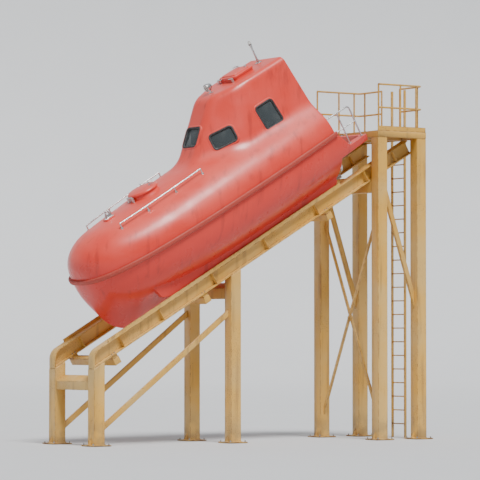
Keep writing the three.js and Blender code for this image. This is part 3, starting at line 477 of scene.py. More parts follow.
def deck_paint(name, fresh, worn, tread=False):
    """Thick paint on steel: bleached and chipped in patches, rusty at its edges, streaked and splashed."""
    rust_run, splash_dirt = (0.22, 0.115, 0.045), (0.15, 0.115, 0.075)
    young_rust, old_rust = (0.20, 0.055, 0.018), (0.085, 0.028, 0.014)
    s = Surface(name, Coat_Weight=0.10, Coat_Roughness=0.35)
    bleached = s.band(s.noise(1.1, 5), 0.35, 0.68)
    runs = s.streaks(8, 5, 0.09, 0.53, 0.73)
    splash = s.times(s.band(s.part(s.place, "Z"), 0.75, 0.02), s.band(s.noise(4, 5), 0.3, 0.65))
    clusters = s.band(s.noise(1.9, 4, shift=(3, 1, 2)), 0.50, 0.60)
    chips = s.times(s.band(s.noise(52, 5), 0.58, 0.64), clusters)
    worn_edges = s.times(s.edges(0.022), s.band(s.noise(9, 6), 0.42, 0.58))
    rusty = s.math("MAXIMUM", worn_edges, s.times(chips, 0.7))
    rust = s.mix(s.band(s.noise(38, 4), 0.35, 0.65), young_rust, old_rust)
    s.colour(fresh, (bleached, 0.8, worn), (runs, 0.45, rust_run), (splash, 0.55, splash_dirt),
             (rusty, 1.0, rust))
    s.set("Roughness", s.plus(s.patchy(6, 4, 0.38, 0.56), s.times(rusty, 0.3)))
    relief = [(s.times(rusty, s.noise(60, 4)), 0.5, 0.003), (s.noise(30, 3), 0.12, 0.002)]
    if tread:
        relief.append((chequer_height(s), 0.6, 0.004))
    return s.bump(*relief).material


def chequer_height(s):
    """Raised lozenges of a chequer plate, in alternate directions, on faces that look up."""
    diagonal = {"Vector": s.place, "Rotation": (0, 0, math.radians(45)), "Scale": (26, 26, 0)}
    turned = s.node("ShaderNodeMapping", diagonal)
    u, v = (s.math("SUBTRACT", s.math("FRACT", s.part(turned, axis)), 0.5) for axis in "XY")
    rows = s.plus(*[s.math("FLOOR", s.part(turned, axis)) for axis in "XY"])
    odd = s.math("FLOORED_MODULO", rows, 2)
    along = s.node("ShaderNodeMix", {0: odd, 2: u, 3: v}, data_type="FLOAT")
    across = s.node("ShaderNodeMix", {0: odd, 2: v, 3: u}, data_type="FLOAT")
    reach = s.plus(s.math("POWER", s.times(along, 2.2), 2), s.math("POWER", s.times(across, 6.5), 2))
    return s.times(s.band(reach, 1.0, 0.6), s.band(s.upward(), 0.9, 0.99))


def metal(name, base, stain, rough=(0.20, 0.38), stained=(0.55, 0.75)):
    """Worked metal, dulled and stained in patches."""
    s = Surface(name, Metallic=1.0)
    patches = s.band(s.noise(9, 6), *stained)
    s.colour(base, (patches, 0.7, stain))
    s.set("Roughness", s.plus(s.patchy(24, 5, *rough), s.times(patches, 0.25)))
    return s.bump((s.noise(130, 3, (1, 1, 0.15)), 0.12, 0.0006), (patches, 0.05, 0.001)).material


def dull(name, base, dust, rough, grain, share=0.5):
    """Rubber or moulded plastic: grained and mottled, with dust in patches where it looks up."""
    s = Surface(name)
    mottled = s.band(s.noise(34, 5), 0.35, 0.7)
    settled = s.times(s.band(s.upward(), 0.1, 0.95), s.band(s.noise(5, 5), 0.35, 0.7))
    s.colour(base, (mottled, 0.45, dust), (settled, share, dust))
    s.set("Roughness", s.patchy(8, 4, rough - 0.08, rough + 0.10))
    return s.bump((s.noise(grain, 3), 0.25, 0.0012), (s.noise(7, 2), 0.15, 0.003)).material


def fleck(name, base, spot):
    """Flecked flowcoat of the cabin's inside."""
    s = Surface(name)
    cells = s.node("ShaderNodeTexVoronoi", {"Vector": s.place, "Scale": 90.0}, out="Distance")
    flecks, clouds = s.band(cells, 0.25, 0.12), s.band(s.noise(3, 4), 0.35, 0.7)
    s.colour(base, (flecks, 0.8, spot), (clouds, 0.25, spot))
    s.set("Roughness", s.patchy(14, 3, 0.42, 0.6))
    return s.bump((s.noise(24, 3), 0.25, 0.003)).material


def pane(name, tint, clear):
    """Tinted glazing with dried salt on it."""
    s = Surface(name, Transmission_Weight=clear, IOR=1.5)
    film = s.band(s.noise(6, 6, (1, 1, 0.3)), 0.42, 0.8)
    s.colour(tint, (film, 0.12, (0.5, 0.5, 0.48)))
    s.set("Roughness", s.band(film, 0, 1, 0.03, 0.22))
    return s.bump((s.noise(1.8, 1), 0.04, 0.004)).material


def ribbed_lens(name, tint):
    """A lamp's pressed lens, with fine level ribs."""
    s = Surface(name, Transmission_Weight=0.75, IOR=1.49)
    ribs = s.math("SINE", s.times(s.part(s.place, "Z"), 900.0))
    s.colour(tint, (s.band(s.noise(20, 3), 0.4, 0.7), 0.4, (0.75, 0.72, 0.62)))
    s.set("Roughness", s.patchy(30, 3, 0.06, 0.16))
    return s.bump((ribs, 0.35, 0.0012)).material


# The deep first colour shows on faces that look down and the pale second one on faces that look up: painted
# shade and light as well as real sun fading
SHELL = gelcoat("orange_gelcoat", (0.68, 0.033, 0.020), (0.86, 0.122, 0.082), (0.20, 0.022, 0.015))
DECK_GRIT = dull("deck_grit", (0.26, 0.026, 0.017), (0.36, 0.085, 0.06), 0.82, 240, 0.4)
BELT = dull("fender_moulding", (0.42, 0.036, 0.022), (0.43, 0.10, 0.07), 0.56, 60)
RUBBER = dull("black_rubber", (0.016, 0.016, 0.017), (0.10, 0.095, 0.09), 0.58, 90)
PAINT = deck_paint("ramp_paint", (0.66, 0.36, 0.060), (0.62, 0.40, 0.13))
TREAD = deck_paint("tread_paint", (0.60, 0.33, 0.060), (0.52, 0.34, 0.12), tread=True)
STEEL = metal("stainless_steel", (0.60, 0.60, 0.59), (0.36, 0.25, 0.16))
GALVANISED = metal("galvanised_steel", (0.42, 0.43, 0.44), (0.30, 0.27, 0.23), (0.42, 0.6), (0.4, 0.7))
BRONZE = metal("propeller_bronze", (0.60, 0.37, 0.16), (0.20, 0.22, 0.14))
GLASS = pane("tinted_glass", (0.09, 0.11, 0.115), 0.55)
LENS = ribbed_lens("lamp_lens", (0.92, 0.91, 0.86))
CABIN = fleck("cabin_flowcoat", (0.42, 0.44, 0.45), (0.17, 0.18, 0.19))
SEATING = dull("seat_moulding", (0.030, 0.033, 0.038), (0.10, 0.10, 0.10), 0.62, 160, 0.3)
FITTINGS = dull("black_fittings", (0.022, 0.022, 0.024), (0.12, 0.115, 0.11), 0.45, 110)

# Camera, floor and light

def direction(azimuth, elevation):
    """The way from the scene to a camera or lamp, from its angles in degrees."""
    a, e = math.radians(azimuth), math.radians(elevation)
    return Vector((math.sin(a) * math.cos(e), -math.cos(a) * math.cos(e), math.sin(e)))


def aimed(name, data, back):
    """A camera or lamp that looks along the opposite of back."""
    obj = bpy.data.objects.new(name, data)
    bpy.context.scene.collection.objects.link(obj)
    obj.rotation_euler = back.to_track_quat("Z", "Y").to_euler()
    return obj


def camera():
    azimuth, elevation, distance, height, focal_length = 146, -2, 60, 4.26, 212
    back = direction(azimuth, elevation)
    data = bpy.data.cameras.new("camera")
    data.lens, data.clip_end = focal_length, 10 * distance
    eye = aimed("camera", data, back)
    eye.location = Vector((0, 0, height)) + back * distance
    bpy.context.scene.camera = eye


def sun(name, azimuth, elevation, energy, spread):
    data = bpy.data.lights.new(name, "SUN")
    data.energy, data.angle = energy, math.radians(spread)
    aimed(name, data, direction(azimuth, elevation))


def studio():
    """A wide pale floor that turns up into a far wall, under an even sky."""
    z, flat, radius, wall_top = -0.004, 70, 30, 45
    bend = [(flat + radius * math.sin(a), z + radius - radius * math.cos(a))
            for a in np.radians(np.linspace(0, 90, 16))]
    profile = [(0, z), (30, z)] + bend + [(flat + radius, wall_top)]
    rings = [[(r * math.cos(a), r * math.sin(a), height) for a in circle(96)] for r, height in profile]
    floor = make("floor", loft(rings, caps=False), Matrix.Identity(4))
    floor.data.shade_smooth()
    s = Surface("studio_floor", Roughness=0.85)
    s.set("Base Color", s.mix(s.noise(0.4, 3), (0.60, 0.61, 0.62), (0.63, 0.635, 0.64)))
    floor.data.materials.append(s.material)
    world = bpy.data.worlds.new("sky")
    world.use_nodes = True
    sky = world.node_tree.nodes["Background"].inputs
    sky["Color"].default_value = (0.90, 0.94, 1.0, 1)
    sky["Strength"].default_value = 0.42
    bpy.context.scene.world = world
    sun("key", 168, 60, 4.3, 20)
    sun("fill", 330, 35, 0.25, 60)


# Hull

def stations(start, count, nose):
    """Stations along the boat: evenly up to the shoulder of the bow, then by equal steps of its width."""
    even = list(np.linspace(start, BOW_SHOULDER_X, count))
    widths = np.linspace(half_beam(BOW_SHOULDER_X), NOSE_TIP, nose + 1)[1:] / (BEAM / 2)
    ahead = (1 - widths**NOSE_POWER) ** (1 / NOSE_POWER)
    return even + list(WIDEST_X + (LENGTH - WIDEST_X) * ahead)


def hull_half(x, wall, steps):
    """The section from the gunwale to the keel, inside a wall that is thinner at the sides."""
    beam, keel = half_beam(x + wall) - wall * 0.7, keel_line(x + wall) + wall
    corner = (beam * CHINE["out"], chine_line(x + wall) + wall * 0.8)
    return corner_arc((beam, GUNWALE), corner, (0, keel), CHINE["weight"], steps)


def ring_of(x, half, lift=0.0):
    """A closed ring at x from a half section that starts at the port edge, raised there by lift."""
    port = [(x, y, z) for y, z in half]
    starboard = [(x, -y, z) for y, z in half[-2::-1]]
    y, z = half[0][0], half[0][1] + lift
    tail = [(x, -y, z), (x, y, z)] if lift else []
    return port + starboard + tail


def counter_face(z):
    return COUNTER["foot_x"] - COUNTER["rake"] * (z - KEEL) / (COUNTER["z"] - KEEL)


def hull():
    behind, low, high, over = -0.2, KEEL - 0.1, COUNTER["z"], GUNWALE + 0.05
    outside = loft([ring_of(x, hull_half(x, 0, 40)) for x in stations(0, 60, 44)])
    counter = [(behind, low), (counter_face(low), low), (counter_face(high), high), (behind, high)]
    over_deck = [(behind, AFT_DECK_Z), (AFT_DECK_FRONT, AFT_DECK_Z), (BULKHEAD_X, GUNWALE),
                 (BULKHEAD_X, over), (behind, over)]
    cuts = [prism(outline, -BEAM, BEAM) for outline in (counter, over_deck)]
    hollow_at = [HOLLOW_X] + [x for x in stations(1.4, 16, 10) if x < LENGTH - 2 * HULL_WALL]
    hollow = loft([ring_of(x, hull_half(x, HULL_WALL, 14), HULL_WALL) for x in hollow_at])
    stock_bore = lathe([(0.031, -0.02), (0.031, 0.09)], (PROPELLER.x, 0, COUNTER["z"]))
    shell = carved(make("hull_shell", outside), hollow, *cuts, stock_bore)
    add("hull_shell", shell, SHELL, replaces=["hull"], angle=40)


def skids():
    """The two skids under the hull, each on a thin wear shoe."""
    start, foot, toe, end, top, shoe_top = 1.0, 1.12, 5.8, 6.1, 0.42, 0.012
    half, shoe_half = 0.055, 0.057
    outline = [(foot, 0), (toe, 0), (end, 0.12), (end + 0.1, top), (start, top), (start, 0.10)]
    for name, y in (("skid_starboard", -SKID_Y), ("skid_port", SKID_Y)):
        add(name, prism(outline, y - half, y + half), SHELL, bevel=0.012)
    shoe = [(foot + 0.01, 0.0), (toe - 0.01, 0.0), (toe, shoe_top), (foot, shoe_top)]
    shoes = [prism(shoe, y - shoe_half, y + shoe_half) for y in (-SKID_Y, SKID_Y)]
    add("skid_shoes", merged(*shoes), RUBBER, bevel=0.002)


def aft_deck():
    """Two gritted treads on the deck behind the door, either side of the stern lifting eye."""
    tread = slab(0.44, 0.78, 0.05, 0, 0.0025)
    treads = [shifted(tread, 0.275, y, AFT_DECK_Z) for y in (-0.52, 0.52)]
    add("aft_deck_treads", merged(*treads), DECK_GRIT, angle=30)


# Canopy, wheelhouse and bulkhead, drawn as one skin

def tower_plane(name):
    (x, y), heading, lean = TOWER[name]
    h, t = math.radians(heading), math.radians(lean)
    normal = Vector((math.cos(h) * math.cos(t), math.sin(h) * math.cos(t), math.sin(t)))
    return Vector((x, y, TOWER_FOOT_Z)), normal


def tower_distance(x, y, z):
    """How far a point is outside the tower, whose edges are rounded."""
    found = z - ROOF
    for name in TOWER:
        point, normal = tower_plane(name)
        beyond = normal.x * (x - point.x) + normal.y * (y - point.y) + normal.z * (z - point.z)
        found = smooth_max(found, beyond, EDGE_ROUNDING)
    return found


def canopy_half(x):
    beam, crown = half_beam(x) - CANOPY_INSET, crown_line(x)
    return corner_arc((beam, GUNWALE), (beam * SHOULDER["out"], crown), (0, crown), SHOULDER["weight"], 60)


def deck_height(x, y):
    half = canopy_half(x)
    return float(np.interp(-abs(y), -half[:, 0], half[:, 1]))


def canopy_section(x, angles, wall=0.0, inset=0.0):
    """The skin's section at x: a point on each ray from the middle of the gunwale, found by halving."""
    halvings, farthest, off_the_hull = 34, 2.6, 0.0003
    half = canopy_half(min(x + wall, LENGTH - 0.002))
    side, rise = half[:, 0], half[:, 1] - GUNWALE
    reach = np.interp(np.minimum(angles, math.pi - angles), np.arctan2(rise, side), np.hypot(side, rise))
    low, high = np.zeros_like(angles), np.full_like(angles, farthest)
    for _ in range(halvings):
        r = (low + high) / 2
        y, z = r * np.cos(angles), GUNWALE + r * np.sin(angles)
        outside = smooth_min(r - reach, tower_distance(x, y, z), FOOT_FILLET) + wall + inset > 0
        high, low = np.where(outside, r, high), np.where(outside, low, r)
    return [(x, u, v) for u, v in zip(low * np.cos(angles), GUNWALE + off_the_hull + low * np.sin(angles))]


def rays(count):
    """Angles from port to starboard, closer together where the tower stands."""
    share_aloft, low, high = 0.62, math.radians(50), math.radians(130)
    side = (1 - share_aloft) / 2
    return np.interp(np.linspace(0, 1, count), [0, side, 1 - side, 1], [0, low, high, math.pi])


def canopy_skin():
    angles, edge = rays(230), 0.035
    turns = np.radians(range(0, 90, 15))
    aft = [(BULKHEAD_X + edge * (1 - math.cos(a)), edge * (1 - math.sin(a))) for a in turns]
    along = [(x, 0.0) for x in np.linspace(BULKHEAD_X + edge, 3.95, 170)]
    ahead = [(x, 0.0) for x in stations(4.0, 42, 40)]
    return loft([canopy_section(x, angles, inset=inset) for x, inset in aft + along + ahead])


def canopy_room():
    angles, foot = rays(90), GUNWALE - 0.1
    along = list(np.linspace(BULKHEAD_X + CANOPY_WALL, 3.95, 70))
    ahead = [x for x in stations(4.1, 14, 12) if x < LENGTH - 2 * CANOPY_WALL]
    rings = []
    for x in along + ahead:
        ring = canopy_section(x, angles, wall=CANOPY_WALL)
        y = ring[0][1]
        rings.append(ring + [(x, -y, foot), (x, y, foot)])
    return loft(rings)


def frame_on(centre, normal):
    """A matrix with z along the normal, y as near upright as can be and x to the right seen from outside."""
    across = Vector(UPRIGHT).cross(normal).normalized()
    turned = Matrix((across, normal.cross(across), normal)).transposed().to_4x4()
    turned.translation = centre
    return turned


def window_frame(name):
    plane, at, _ = WINDOWS[name]
    point, normal = tower_plane(plane)
    centre = Vector(at)
    return frame_on(centre + normal * (point - centre).dot(normal), normal)


def door_frame(x):
    return frame_on(Vector((x, 0, DOOR["foot"] + DOOR["height"] / 2)), Vector((-1, 0, 0)))


def canopy():
    hole, fore_hole = ROOF_HATCH["hole"], FORE_HATCH["hole"]
    roof_cut = slab(hole, hole, ROOF_HATCH["corner"], -0.2, 0.2)
    door_cut = slab(DOOR["width"] - 2 * DOOR["rim"], DOOR["height"] - 2 * DOOR["rim"], 0.09, -0.2, 0.1)
    cutters = [shifted(roof_cut, ROOF_HATCH["x"], 0, ROOF), moved(door_cut, door_frame(BULKHEAD_X)),
               lathe([(fore_hole, 1.6), (fore_hole, 2.3)], (FORE_HATCH["x"], 0, 0))]
    for name, (_, _, (width, height)) in WINDOWS.items():
        cutters.append(moved(slab(width, height, WINDOW_CORNER, -0.22, 0.08), window_frame(name)))
    shell = carved(make("canopy_shell", canopy_skin()), canopy_room(), *cutters)
    add("canopy_shell", shell, SHELL, angle=48,
        replaces=["canopy", "foredeck", "wheelhouse", "aft_bulkhead"])


def coamings():
    """The upstands round the two hatches' holes."""
    hole, top = ROOF_HATCH["hole"], ROOF_HATCH["coaming"]
    lip = [(0, -0.04), (0.032, -0.04), (0.030, top - 0.008), (0.022, top), (0.004, top), (0, top - 0.004)]
    roof = Matrix.Translation((ROOF_HATCH["x"], 0, ROOF))
    add("roof_coaming", rim(hole, hole, ROOF_HATCH["corner"], lip, roof), SHELL, angle=30)
    crown = crown_line(FORE_HATCH["x"])
    inner, outer, top = FORE_HATCH["hole"], FORE_HATCH["rim"], crown + FORE_HATCH["coaming"]
    ring = [(inner, crown - 0.09), (outer + 0.03, crown - 0.03), (outer + 0.008, crown + 0.012),
            (outer, crown + 0.03), (outer, top - 0.008), (outer - 0.008, top), (inner + 0.006, top),
            (inner, top - 0.006)]
    add("fore_coaming", lathe(ring, (FORE_HATCH["x"], 0, 0), segments=72, closed=True), SHELL, angle=30)


def eye_pad():
    """The pad under the bow's lifting eye."""
    x = 5.95
    add("eye_pad", shifted(slab(0.24, 0.16, 0.03, -0.08, 0.0247, edge=0.008), x, 0, crown_line(x)), SHELL)


def fender():
    port = [(x, half_beam(x), GUNWALE) for x in stations(BULKHEAD_X, 90, 50)]
    path = port + [(x, -y, z) for x, y, z in port[::-1]]
    face = [(0.0006, -0.058), (-0.030, -0.060), (-0.046, -0.052), (-0.055, -0.036), (-0.0575, -0.012),
            (-0.0575, 0.012), (-0.055, 0.030), (-0.046, 0.038), (-0.030, 0.0415), (0.0006, 0.040)]
    add("fender_moulding", sweep(path, face), BELT, angle=50, replaces=["fender_belt"])


def windows():
    gasket = [(-0.024, -0.0135), (-0.024, -0.007), (-0.012, 0.012), (0.004, 0.019), (0.018, 0.017),
              (0.025, 0.008), (0.025, -0.02), (-0.001, -0.03)]
    flange = [(0.004, -0.06), (0.004, 0.010), (0.042, 0.010), (0.052, 0.004), (0.064, -0.012),
              (0.066, -0.06)]
    for name, (_, _, size) in WINDOWS.items():
        at = window_frame(name)
        side = name.replace("window_", "")
        add(f"window_gasket_{side}", rim(*size, WINDOW_CORNER, gasket, at), RUBBER, angle=50)
        add(f"window_flange_{side}", rim(*size, WINDOW_CORNER, flange, at), SHELL, angle=30)


# Door and hatches

def dog(matrix, turn):
    """A clamp handle on its boss."""
    boss = lathe([(0.0, 0.0), (0.024, 0.0), (0.022, 0.020), (0.014, 0.026), (0.014, 0.036), (0.0, 0.038)],
                 (0, 0, 0), segments=20)
    grip = tube([(-0.012, 0, 0.028), (0.055, 0, 0.032), (0.11, 0, 0.030)], 0.008, 10)
    return moved(merged(boss, grip), matrix @ Matrix.Rotation(turn, 4, "Z"))


def aft_door():
    face = door_frame(BULKHEAD_X - DOOR["gap"])
    width, height, thick = DOOR["width"], DOOR["height"], DOOR["thickness"]
    leaf = slab(width, height, 0.11, 0, thick, edge=0.012, steps=8)
    panel = slab(width - 0.16, height - 0.16, 0.08, thick - 0.005, thick + 0.018, edge=0.014, steps=8)
    rib = slab(width - 0.30, 0.05, 0.02, thick + 0.012, thick + 0.027, edge=0.008)
    ribs = [shifted(rib, 0, v, 0) for v in (-0.36, 0.30)]
    add("aft_door_leaf", moved(merged(leaf, panel, *ribs), face), SHELL, "aft_door", angle=30,
        replaces=["aft_door"])
    seat = [(-0.012, -0.004), (0.014, -0.004), (0.012, 0.0008), (-0.010, 0.0008)]
    add("aft_door_gasket", rim(width - 0.07, height - 0.07, 0.09, seat, face), RUBBER, "aft_door", angle=50)
    spots = ((-0.30, 0.45, 20), (-0.30, 0.0, 0), (-0.30, -0.45, -20), (0.12, 0.60, 70), (0.12, -0.60, -70))
    dogs = [dog(face @ Matrix.Translation((u, v, thick)), math.radians(turn)) for u, v, turn in spots]
    add("aft_door_dogs", merged(*dogs), STEEL, "aft_door", angle=40)
    foot, out = thick + 0.01, thick + 0.055
    grip = tube([(0.10, -0.10, foot), (0.10, -0.10, out), (0.10, 0.12, out), (0.10, 0.12, foot)], 0.010, 12,
                bend=0.03)
    add("aft_door_grip", moved(grip, face), STEEL, "aft_door", angle=40)
    door_hinges()


def door_hinges():
    """Two knuckles with straps on the door, and above each of them its fellow on the bulkhead."""
    x, y, radius, length = 0.771, -0.365, 0.012, 0.07
    door, bulkhead = [], []
    for z in (1.400, 2.220):
        low = z + length + 0.006
        high = low + length
        door += [pin(radius, 0, length, (x, y, z), segments=20),
                 block(0.736, 0.748, y, -0.22, z + 0.008, z + 0.062),
                 block(0.740, 0.779, y, -0.325, z, z + length)]
        bulkhead += [pin(radius, low, high, (x, y, 0), segments=20),
                     block(x, 0.82, y - 0.009, y + 0.009, low, high)]
    add("aft_door_hinges", merged(*door), STEEL, "aft_door", bevel=0.002)
    add("bulkhead_hinges", merged(*bulkhead), STEEL, bevel=0.002)


def hatch_hinges(name, x, z, lid, fixed, foot, reach):
    """Knuckles on the lid and their fellows on the coaming, each over a span of y."""
    def barrel(span):
        return pin(0.014, *span, (x, 0, z), ACROSS, segments=20)
    moving = [merged(barrel(span), block(x - reach, x, *span, z - 0.010, z + 0.010)) for span in lid]
    still = [merged(barrel(span), block(x - 0.010, x + 0.010, *span, foot, z)) for span in fixed]
    add(f"{name}_lid_hinges", merged(*moving), STEEL, name, bevel=0.002)
    add(f"{name}_fixed_hinges", merged(*still), STEEL, bevel=0.002)


def roof_hatch():
    x, side, thick = ROOF_HATCH["x"], ROOF_HATCH["side"], ROOF_HATCH["thickness"]
    seat = Matrix.Translation((x, 0, ROOF + ROOF_HATCH["coaming"] + LID_GAP))
    lid = slab(side, side, 0.09, 0, thick, edge=0.016, steps=8)
    crown = slab(side - 0.12, side - 0.12, 0.07, thick - 0.004, thick + 0.022, edge=0.018, steps=8)
    add("roof_hatch_lid", moved(merged(lid, crown), seat), SHELL, "roof_hatch", angle=30,
        replaces=["roof_hatch"])
    dogs = [dog(seat @ Matrix.Translation((-0.20, s * 0.15, thick + 0.021)), s * 0.6) for s in BOTH_SIDES]
    add("roof_hatch_dogs", merged(*dogs), STEEL, "roof_hatch", angle=40)
    moving, still = [(-0.225, -0.135), (0.135, 0.225)], [(-0.301, -0.231), (0.231, 0.301)]
    hatch_hinges("roof_hatch", x + side / 2 + 0.02, ROOF + 0.051 + thick / 2, moving, still,
                 ROOF - 0.02, 0.04)


def fore_hatch():
    x, r = FORE_HATCH["x"], FORE_HATCH["radius"]
    seat = crown_line(x) + FORE_HATCH["coaming"] + LID_GAP
    edge = [(0.0, 0.0), (r - 0.006, 0.0), (r, 0.006), (r, 0.026), (r - 0.004, 0.033), (r - 0.030, 0.055)]
    dome = [(r * s, 0.055 + 0.036 * (1 - (s / 0.9) ** 2)) for s in np.linspace(0.86, 0.02, 14)]
    lid = lathe(edge + dome + [(0.0, 0.091)], (x, 0, seat), segments=72)
    add("fore_hatch_lid", lid, SHELL, "fore_hatch", angle=30, replaces=["fore_hatch"])
    dogs = [dog(Matrix.Translation((x + 0.20 * math.cos(a), 0.20 * math.sin(a), seat + 0.070)), a)
            for a in np.radians((120, 180, 240))]
    add("fore_hatch_dogs", merged(*dogs), STEEL, "fore_hatch", angle=40)
    hatch_hinges("fore_hatch", x + r + 0.02, seat + 0.0165, [(-0.045, 0.045)],
                 [(-0.121, -0.051), (0.051, 0.121)], crown_line(x + r) - 0.03, 0.045)


# Stern gear

# A blade's outline by radius and half chord, and its twist by radius, degrees and half thickness

BLADE_OUTLINE = ((0.029, 0.055), (0.05, 0.066), (0.08, 0.079), (0.11, 0.088), (0.14, 0.0915),
                 (0.165, 0.088), (0.182, 0.079), (0.194, 0.064), (0.201, 0.044), (0.205, 0.020))
BLADE_TWIST = np.array(((0.029, 28, 0.012), (0.110, 45, 0.009), (0.190, 58, 0.006), (0.205, 64, 0.003)))


def blade_ring(r, chord, turn):
    """A flat oval section of a blade at radius r, twisted by its pitch and turned about the shaft."""
    radii, degrees, thickness = BLADE_TWIST.T
    angle = math.radians(float(np.interp(r, radii, degrees)))
    thick = float(np.interp(r, radii, thickness))
    ring = []
    for t in circle(24):
        u, v = chord * math.cos(t), thick * math.sin(t)
        p = Vector((u * math.cos(angle) - v * math.sin(angle), u * math.sin(angle) + v * math.cos(angle), r))
        ring.append(turn @ p + PROPELLER)
    return ring


def propeller():
    turns = [Matrix.Rotation(k * math.pi / 2, 3, "X") for k in range(4)]
    blades = [loft([blade_ring(r, chord, turn) for r, chord in BLADE_OUTLINE]) for turn in turns]
    boss = lathe([(0.0, -0.09), (0.010, -0.086), (0.026, -0.062), (0.038, -0.030), (0.042, -0.005),
                  (0.042, 0.060), (0.034, 0.075), (0.0, 0.075)], PROPELLER, ALONG)
    shaft = pin(0.022, 0.04, 0.47, PROPELLER, ALONG)
    add("propeller_wheel", merged(boss, shaft, *blades), BRONZE, "propeller", angle=40,
        replaces=["propeller"])


def nozzle():
    inside = [(0.240, -0.110), (0.2345, -0.06), (0.232, 0.0), (0.236, 0.05), (0.246, 0.092)]
    lip = [(0.252, 0.104), (0.260, 0.110), (0.268, 0.106), (0.2745, 0.092)]
    outside = [(0.275, 0.070), (0.2735, 0.02), (0.268, -0.05), (0.258, -0.098), (0.250, -0.110)]
    ring = lathe(inside + lip + outside, PROPELLER, ALONG, segments=96, closed=True)
    head = pin(0.028, 0.247, 0.400, PROPELLER)
    heel = pin(0.022, -0.348, -0.247, PROPELLER)
    boss = lathe([(0.0, 0.262), (0.055, 0.262), (0.040, 0.30), (0.0, 0.30)], PROPELLER)
    low, high = PROPELLER.z + 0.266, PROPELLER.z + 0.296
    stays = [block(0.36, 0.50, y - 0.004, y + 0.004, low, high) for y in (-0.02, 0.02)]
    add("nozzle_ring", merged(ring, head, heel, boss, *stays), STEEL, "nozzle", angle=40,
        replaces=["steering_nozzle"])


# Rails, mast and lamps

def rail(points, posts, radius, bend=0.0):
    """A tube with thinner posts of (top, foot)."""
    return merged(tube(points, radius, bend=bend), *[tube(post, radius * 0.92) for post in posts])


def grab_rail(name, side):
    spots, height = (3.95, 4.70, 5.45, 6.15), 0.11

    def at(x, lift):
        y = (half_beam(x) - CANOPY_INSET) * 0.6
        return Vector((x, side * y, deck_height(x, y) + lift))
    line = [at(x, height) for x in np.linspace(spots[0], spots[-1], 23)]
    posts = [(at(x, height), at(x, 0.016)) for x in spots]
    add(f"grab_rail_tube_{name}", rail(line, posts, 0.0155), STEEL, angle=40, replaces=[f"grab_rail_{name}"])
    foot = [(0.0, -0.02), (0.034, -0.02), (0.032, 0.013), (0.020, 0.018), (0.0, 0.018)]
    feet = [lathe(foot, at(x, 0.0), segments=24) for x in spots]
    add(f"grab_rail_feet_{name}", merged(*feet), STEEL, angle=40)


def stern_rail(name, side):
    y, low, high = side * 1.010, AFT_DECK_Z + 0.001, GUNWALE + 0.3
    back, between, front = 0.07, 0.42, BULKHEAD_X - 0.008
    line = [(back, y, low), (back, y, high), (front, y, high)]
    frame_tube = rail(line, [((between, y, high), (between, y, low))], 0.017, bend=0.09)
    middle = tube([(back, y, (low + high) / 2), (front, y, (low + high) / 2)], 0.013)
    foot = [(0.0, 0), (0.042, 0), (0.042, 0.006), (0.024, 0.014), (0.0, 0.014)]
    feet = [lathe(foot, (x, y, low), segments=24) for x in (back, between)]
    add(f"stern_rail_tube_{name}", merged(frame_tube, middle, *feet), STEEL, angle=40,
        replaces=[f"stern_rail_{name}"])


def mast():
    foot, x = ROOF + 0.0003, 1.020
    pole = lathe([(0.0, 0), (0.020, 0), (0.020, 0.37), (0.026, 0.372), (0.026, 0.43), (0.0, 0.43)],
                 (x, 0, foot))
    plate = shifted(slab(0.14, 0.12, 0.02, 0, 0.015, edge=0.003), x, 0, foot)
    web = prism([(x - 0.06, foot + 0.012), (x + 0.06, foot + 0.012), (x + 0.018, foot + 0.10),
                 (x - 0.018, foot + 0.10)], -0.004, 0.004)
    add("mast_tube", merged(pole, plate, web), STEEL, angle=40, replaces=["roof_mast"])
    top = foot + 0.4303
    dome = [(0.0, 0.014), (0.034, 0.014), (0.036, 0.040), (0.033, 0.062), (0.025, 0.078), (0.012, 0.088),
            (0.0, 0.090)]
    add("lamp_dome", lathe(dome, (x, 0, top)), LENS, angle=40, replaces=["position_light"])
    add("lamp_base", pin(0.038, 0.0, 0.016, (x, 0, top)), FITTINGS, bevel=0.002)


def search_light():
    x, z = 2.42, ROOF + 0.0003
    axis_z = z + 0.14
    stem = lathe([(0.0, 0), (0.055, 0), (0.055, 0.008), (0.024, 0.014), (0.022, 0.07), (0.0, 0.07)],
                 (x, 0, z))
    yoke = tube([(x, -0.078, axis_z), (x, -0.074, z + 0.075), (x, 0, z + 0.058), (x, 0.074, z + 0.075),
                 (x, 0.078, axis_z)], 0.008, bend=0.04)
    body = lathe([(0.0, -0.070), (0.030, -0.068), (0.056, -0.058), (0.070, -0.020), (0.080, 0.020),
                  (0.085, 0.045), (0.085, 0.070), (0.077, 0.070), (0.074, 0.056), (0.0, 0.056)],
                 (x, 0, axis_z), ALONG)
    lens = lathe([(0.0, 0.0), (0.075, 0.0), (0.070, 0.006), (0.035, 0.011), (0.0, 0.012)],
                 (x + 0.057, 0, axis_z), ALONG)
    add("search_light_body", merged(stem, yoke, body), STEEL, angle=40, replaces=["search_light"])
    add("search_light_lens", lens, LENS, angle=40)


# Ramp and platform

def guard_rail(name, side):
    top, back, front = PLATFORM_TOP, -1.14, 0.04
    y, gate = side * 1.13, side * 0.33
    runs = [tube([(front, y, top + lift), (back, y, top + lift), (back, gate, top + lift)], 0.021, bend=0.12)
            for lift in (1.0, 0.5)]
    spots = ((front, y), ((back + front) / 2, y), (back, gate), (back, side * 0.96), (back + 0.17, y))
    posts = [tube([(u, v, top + 1.0), (u, v, top + 0.001)], 0.0195) for u, v in spots]
    add(f"guard_rail_tube_{name}", merged(*runs, *posts), PAINT, place=DECK, angle=40,
        replaces=[f"guard_rail_{name}"])


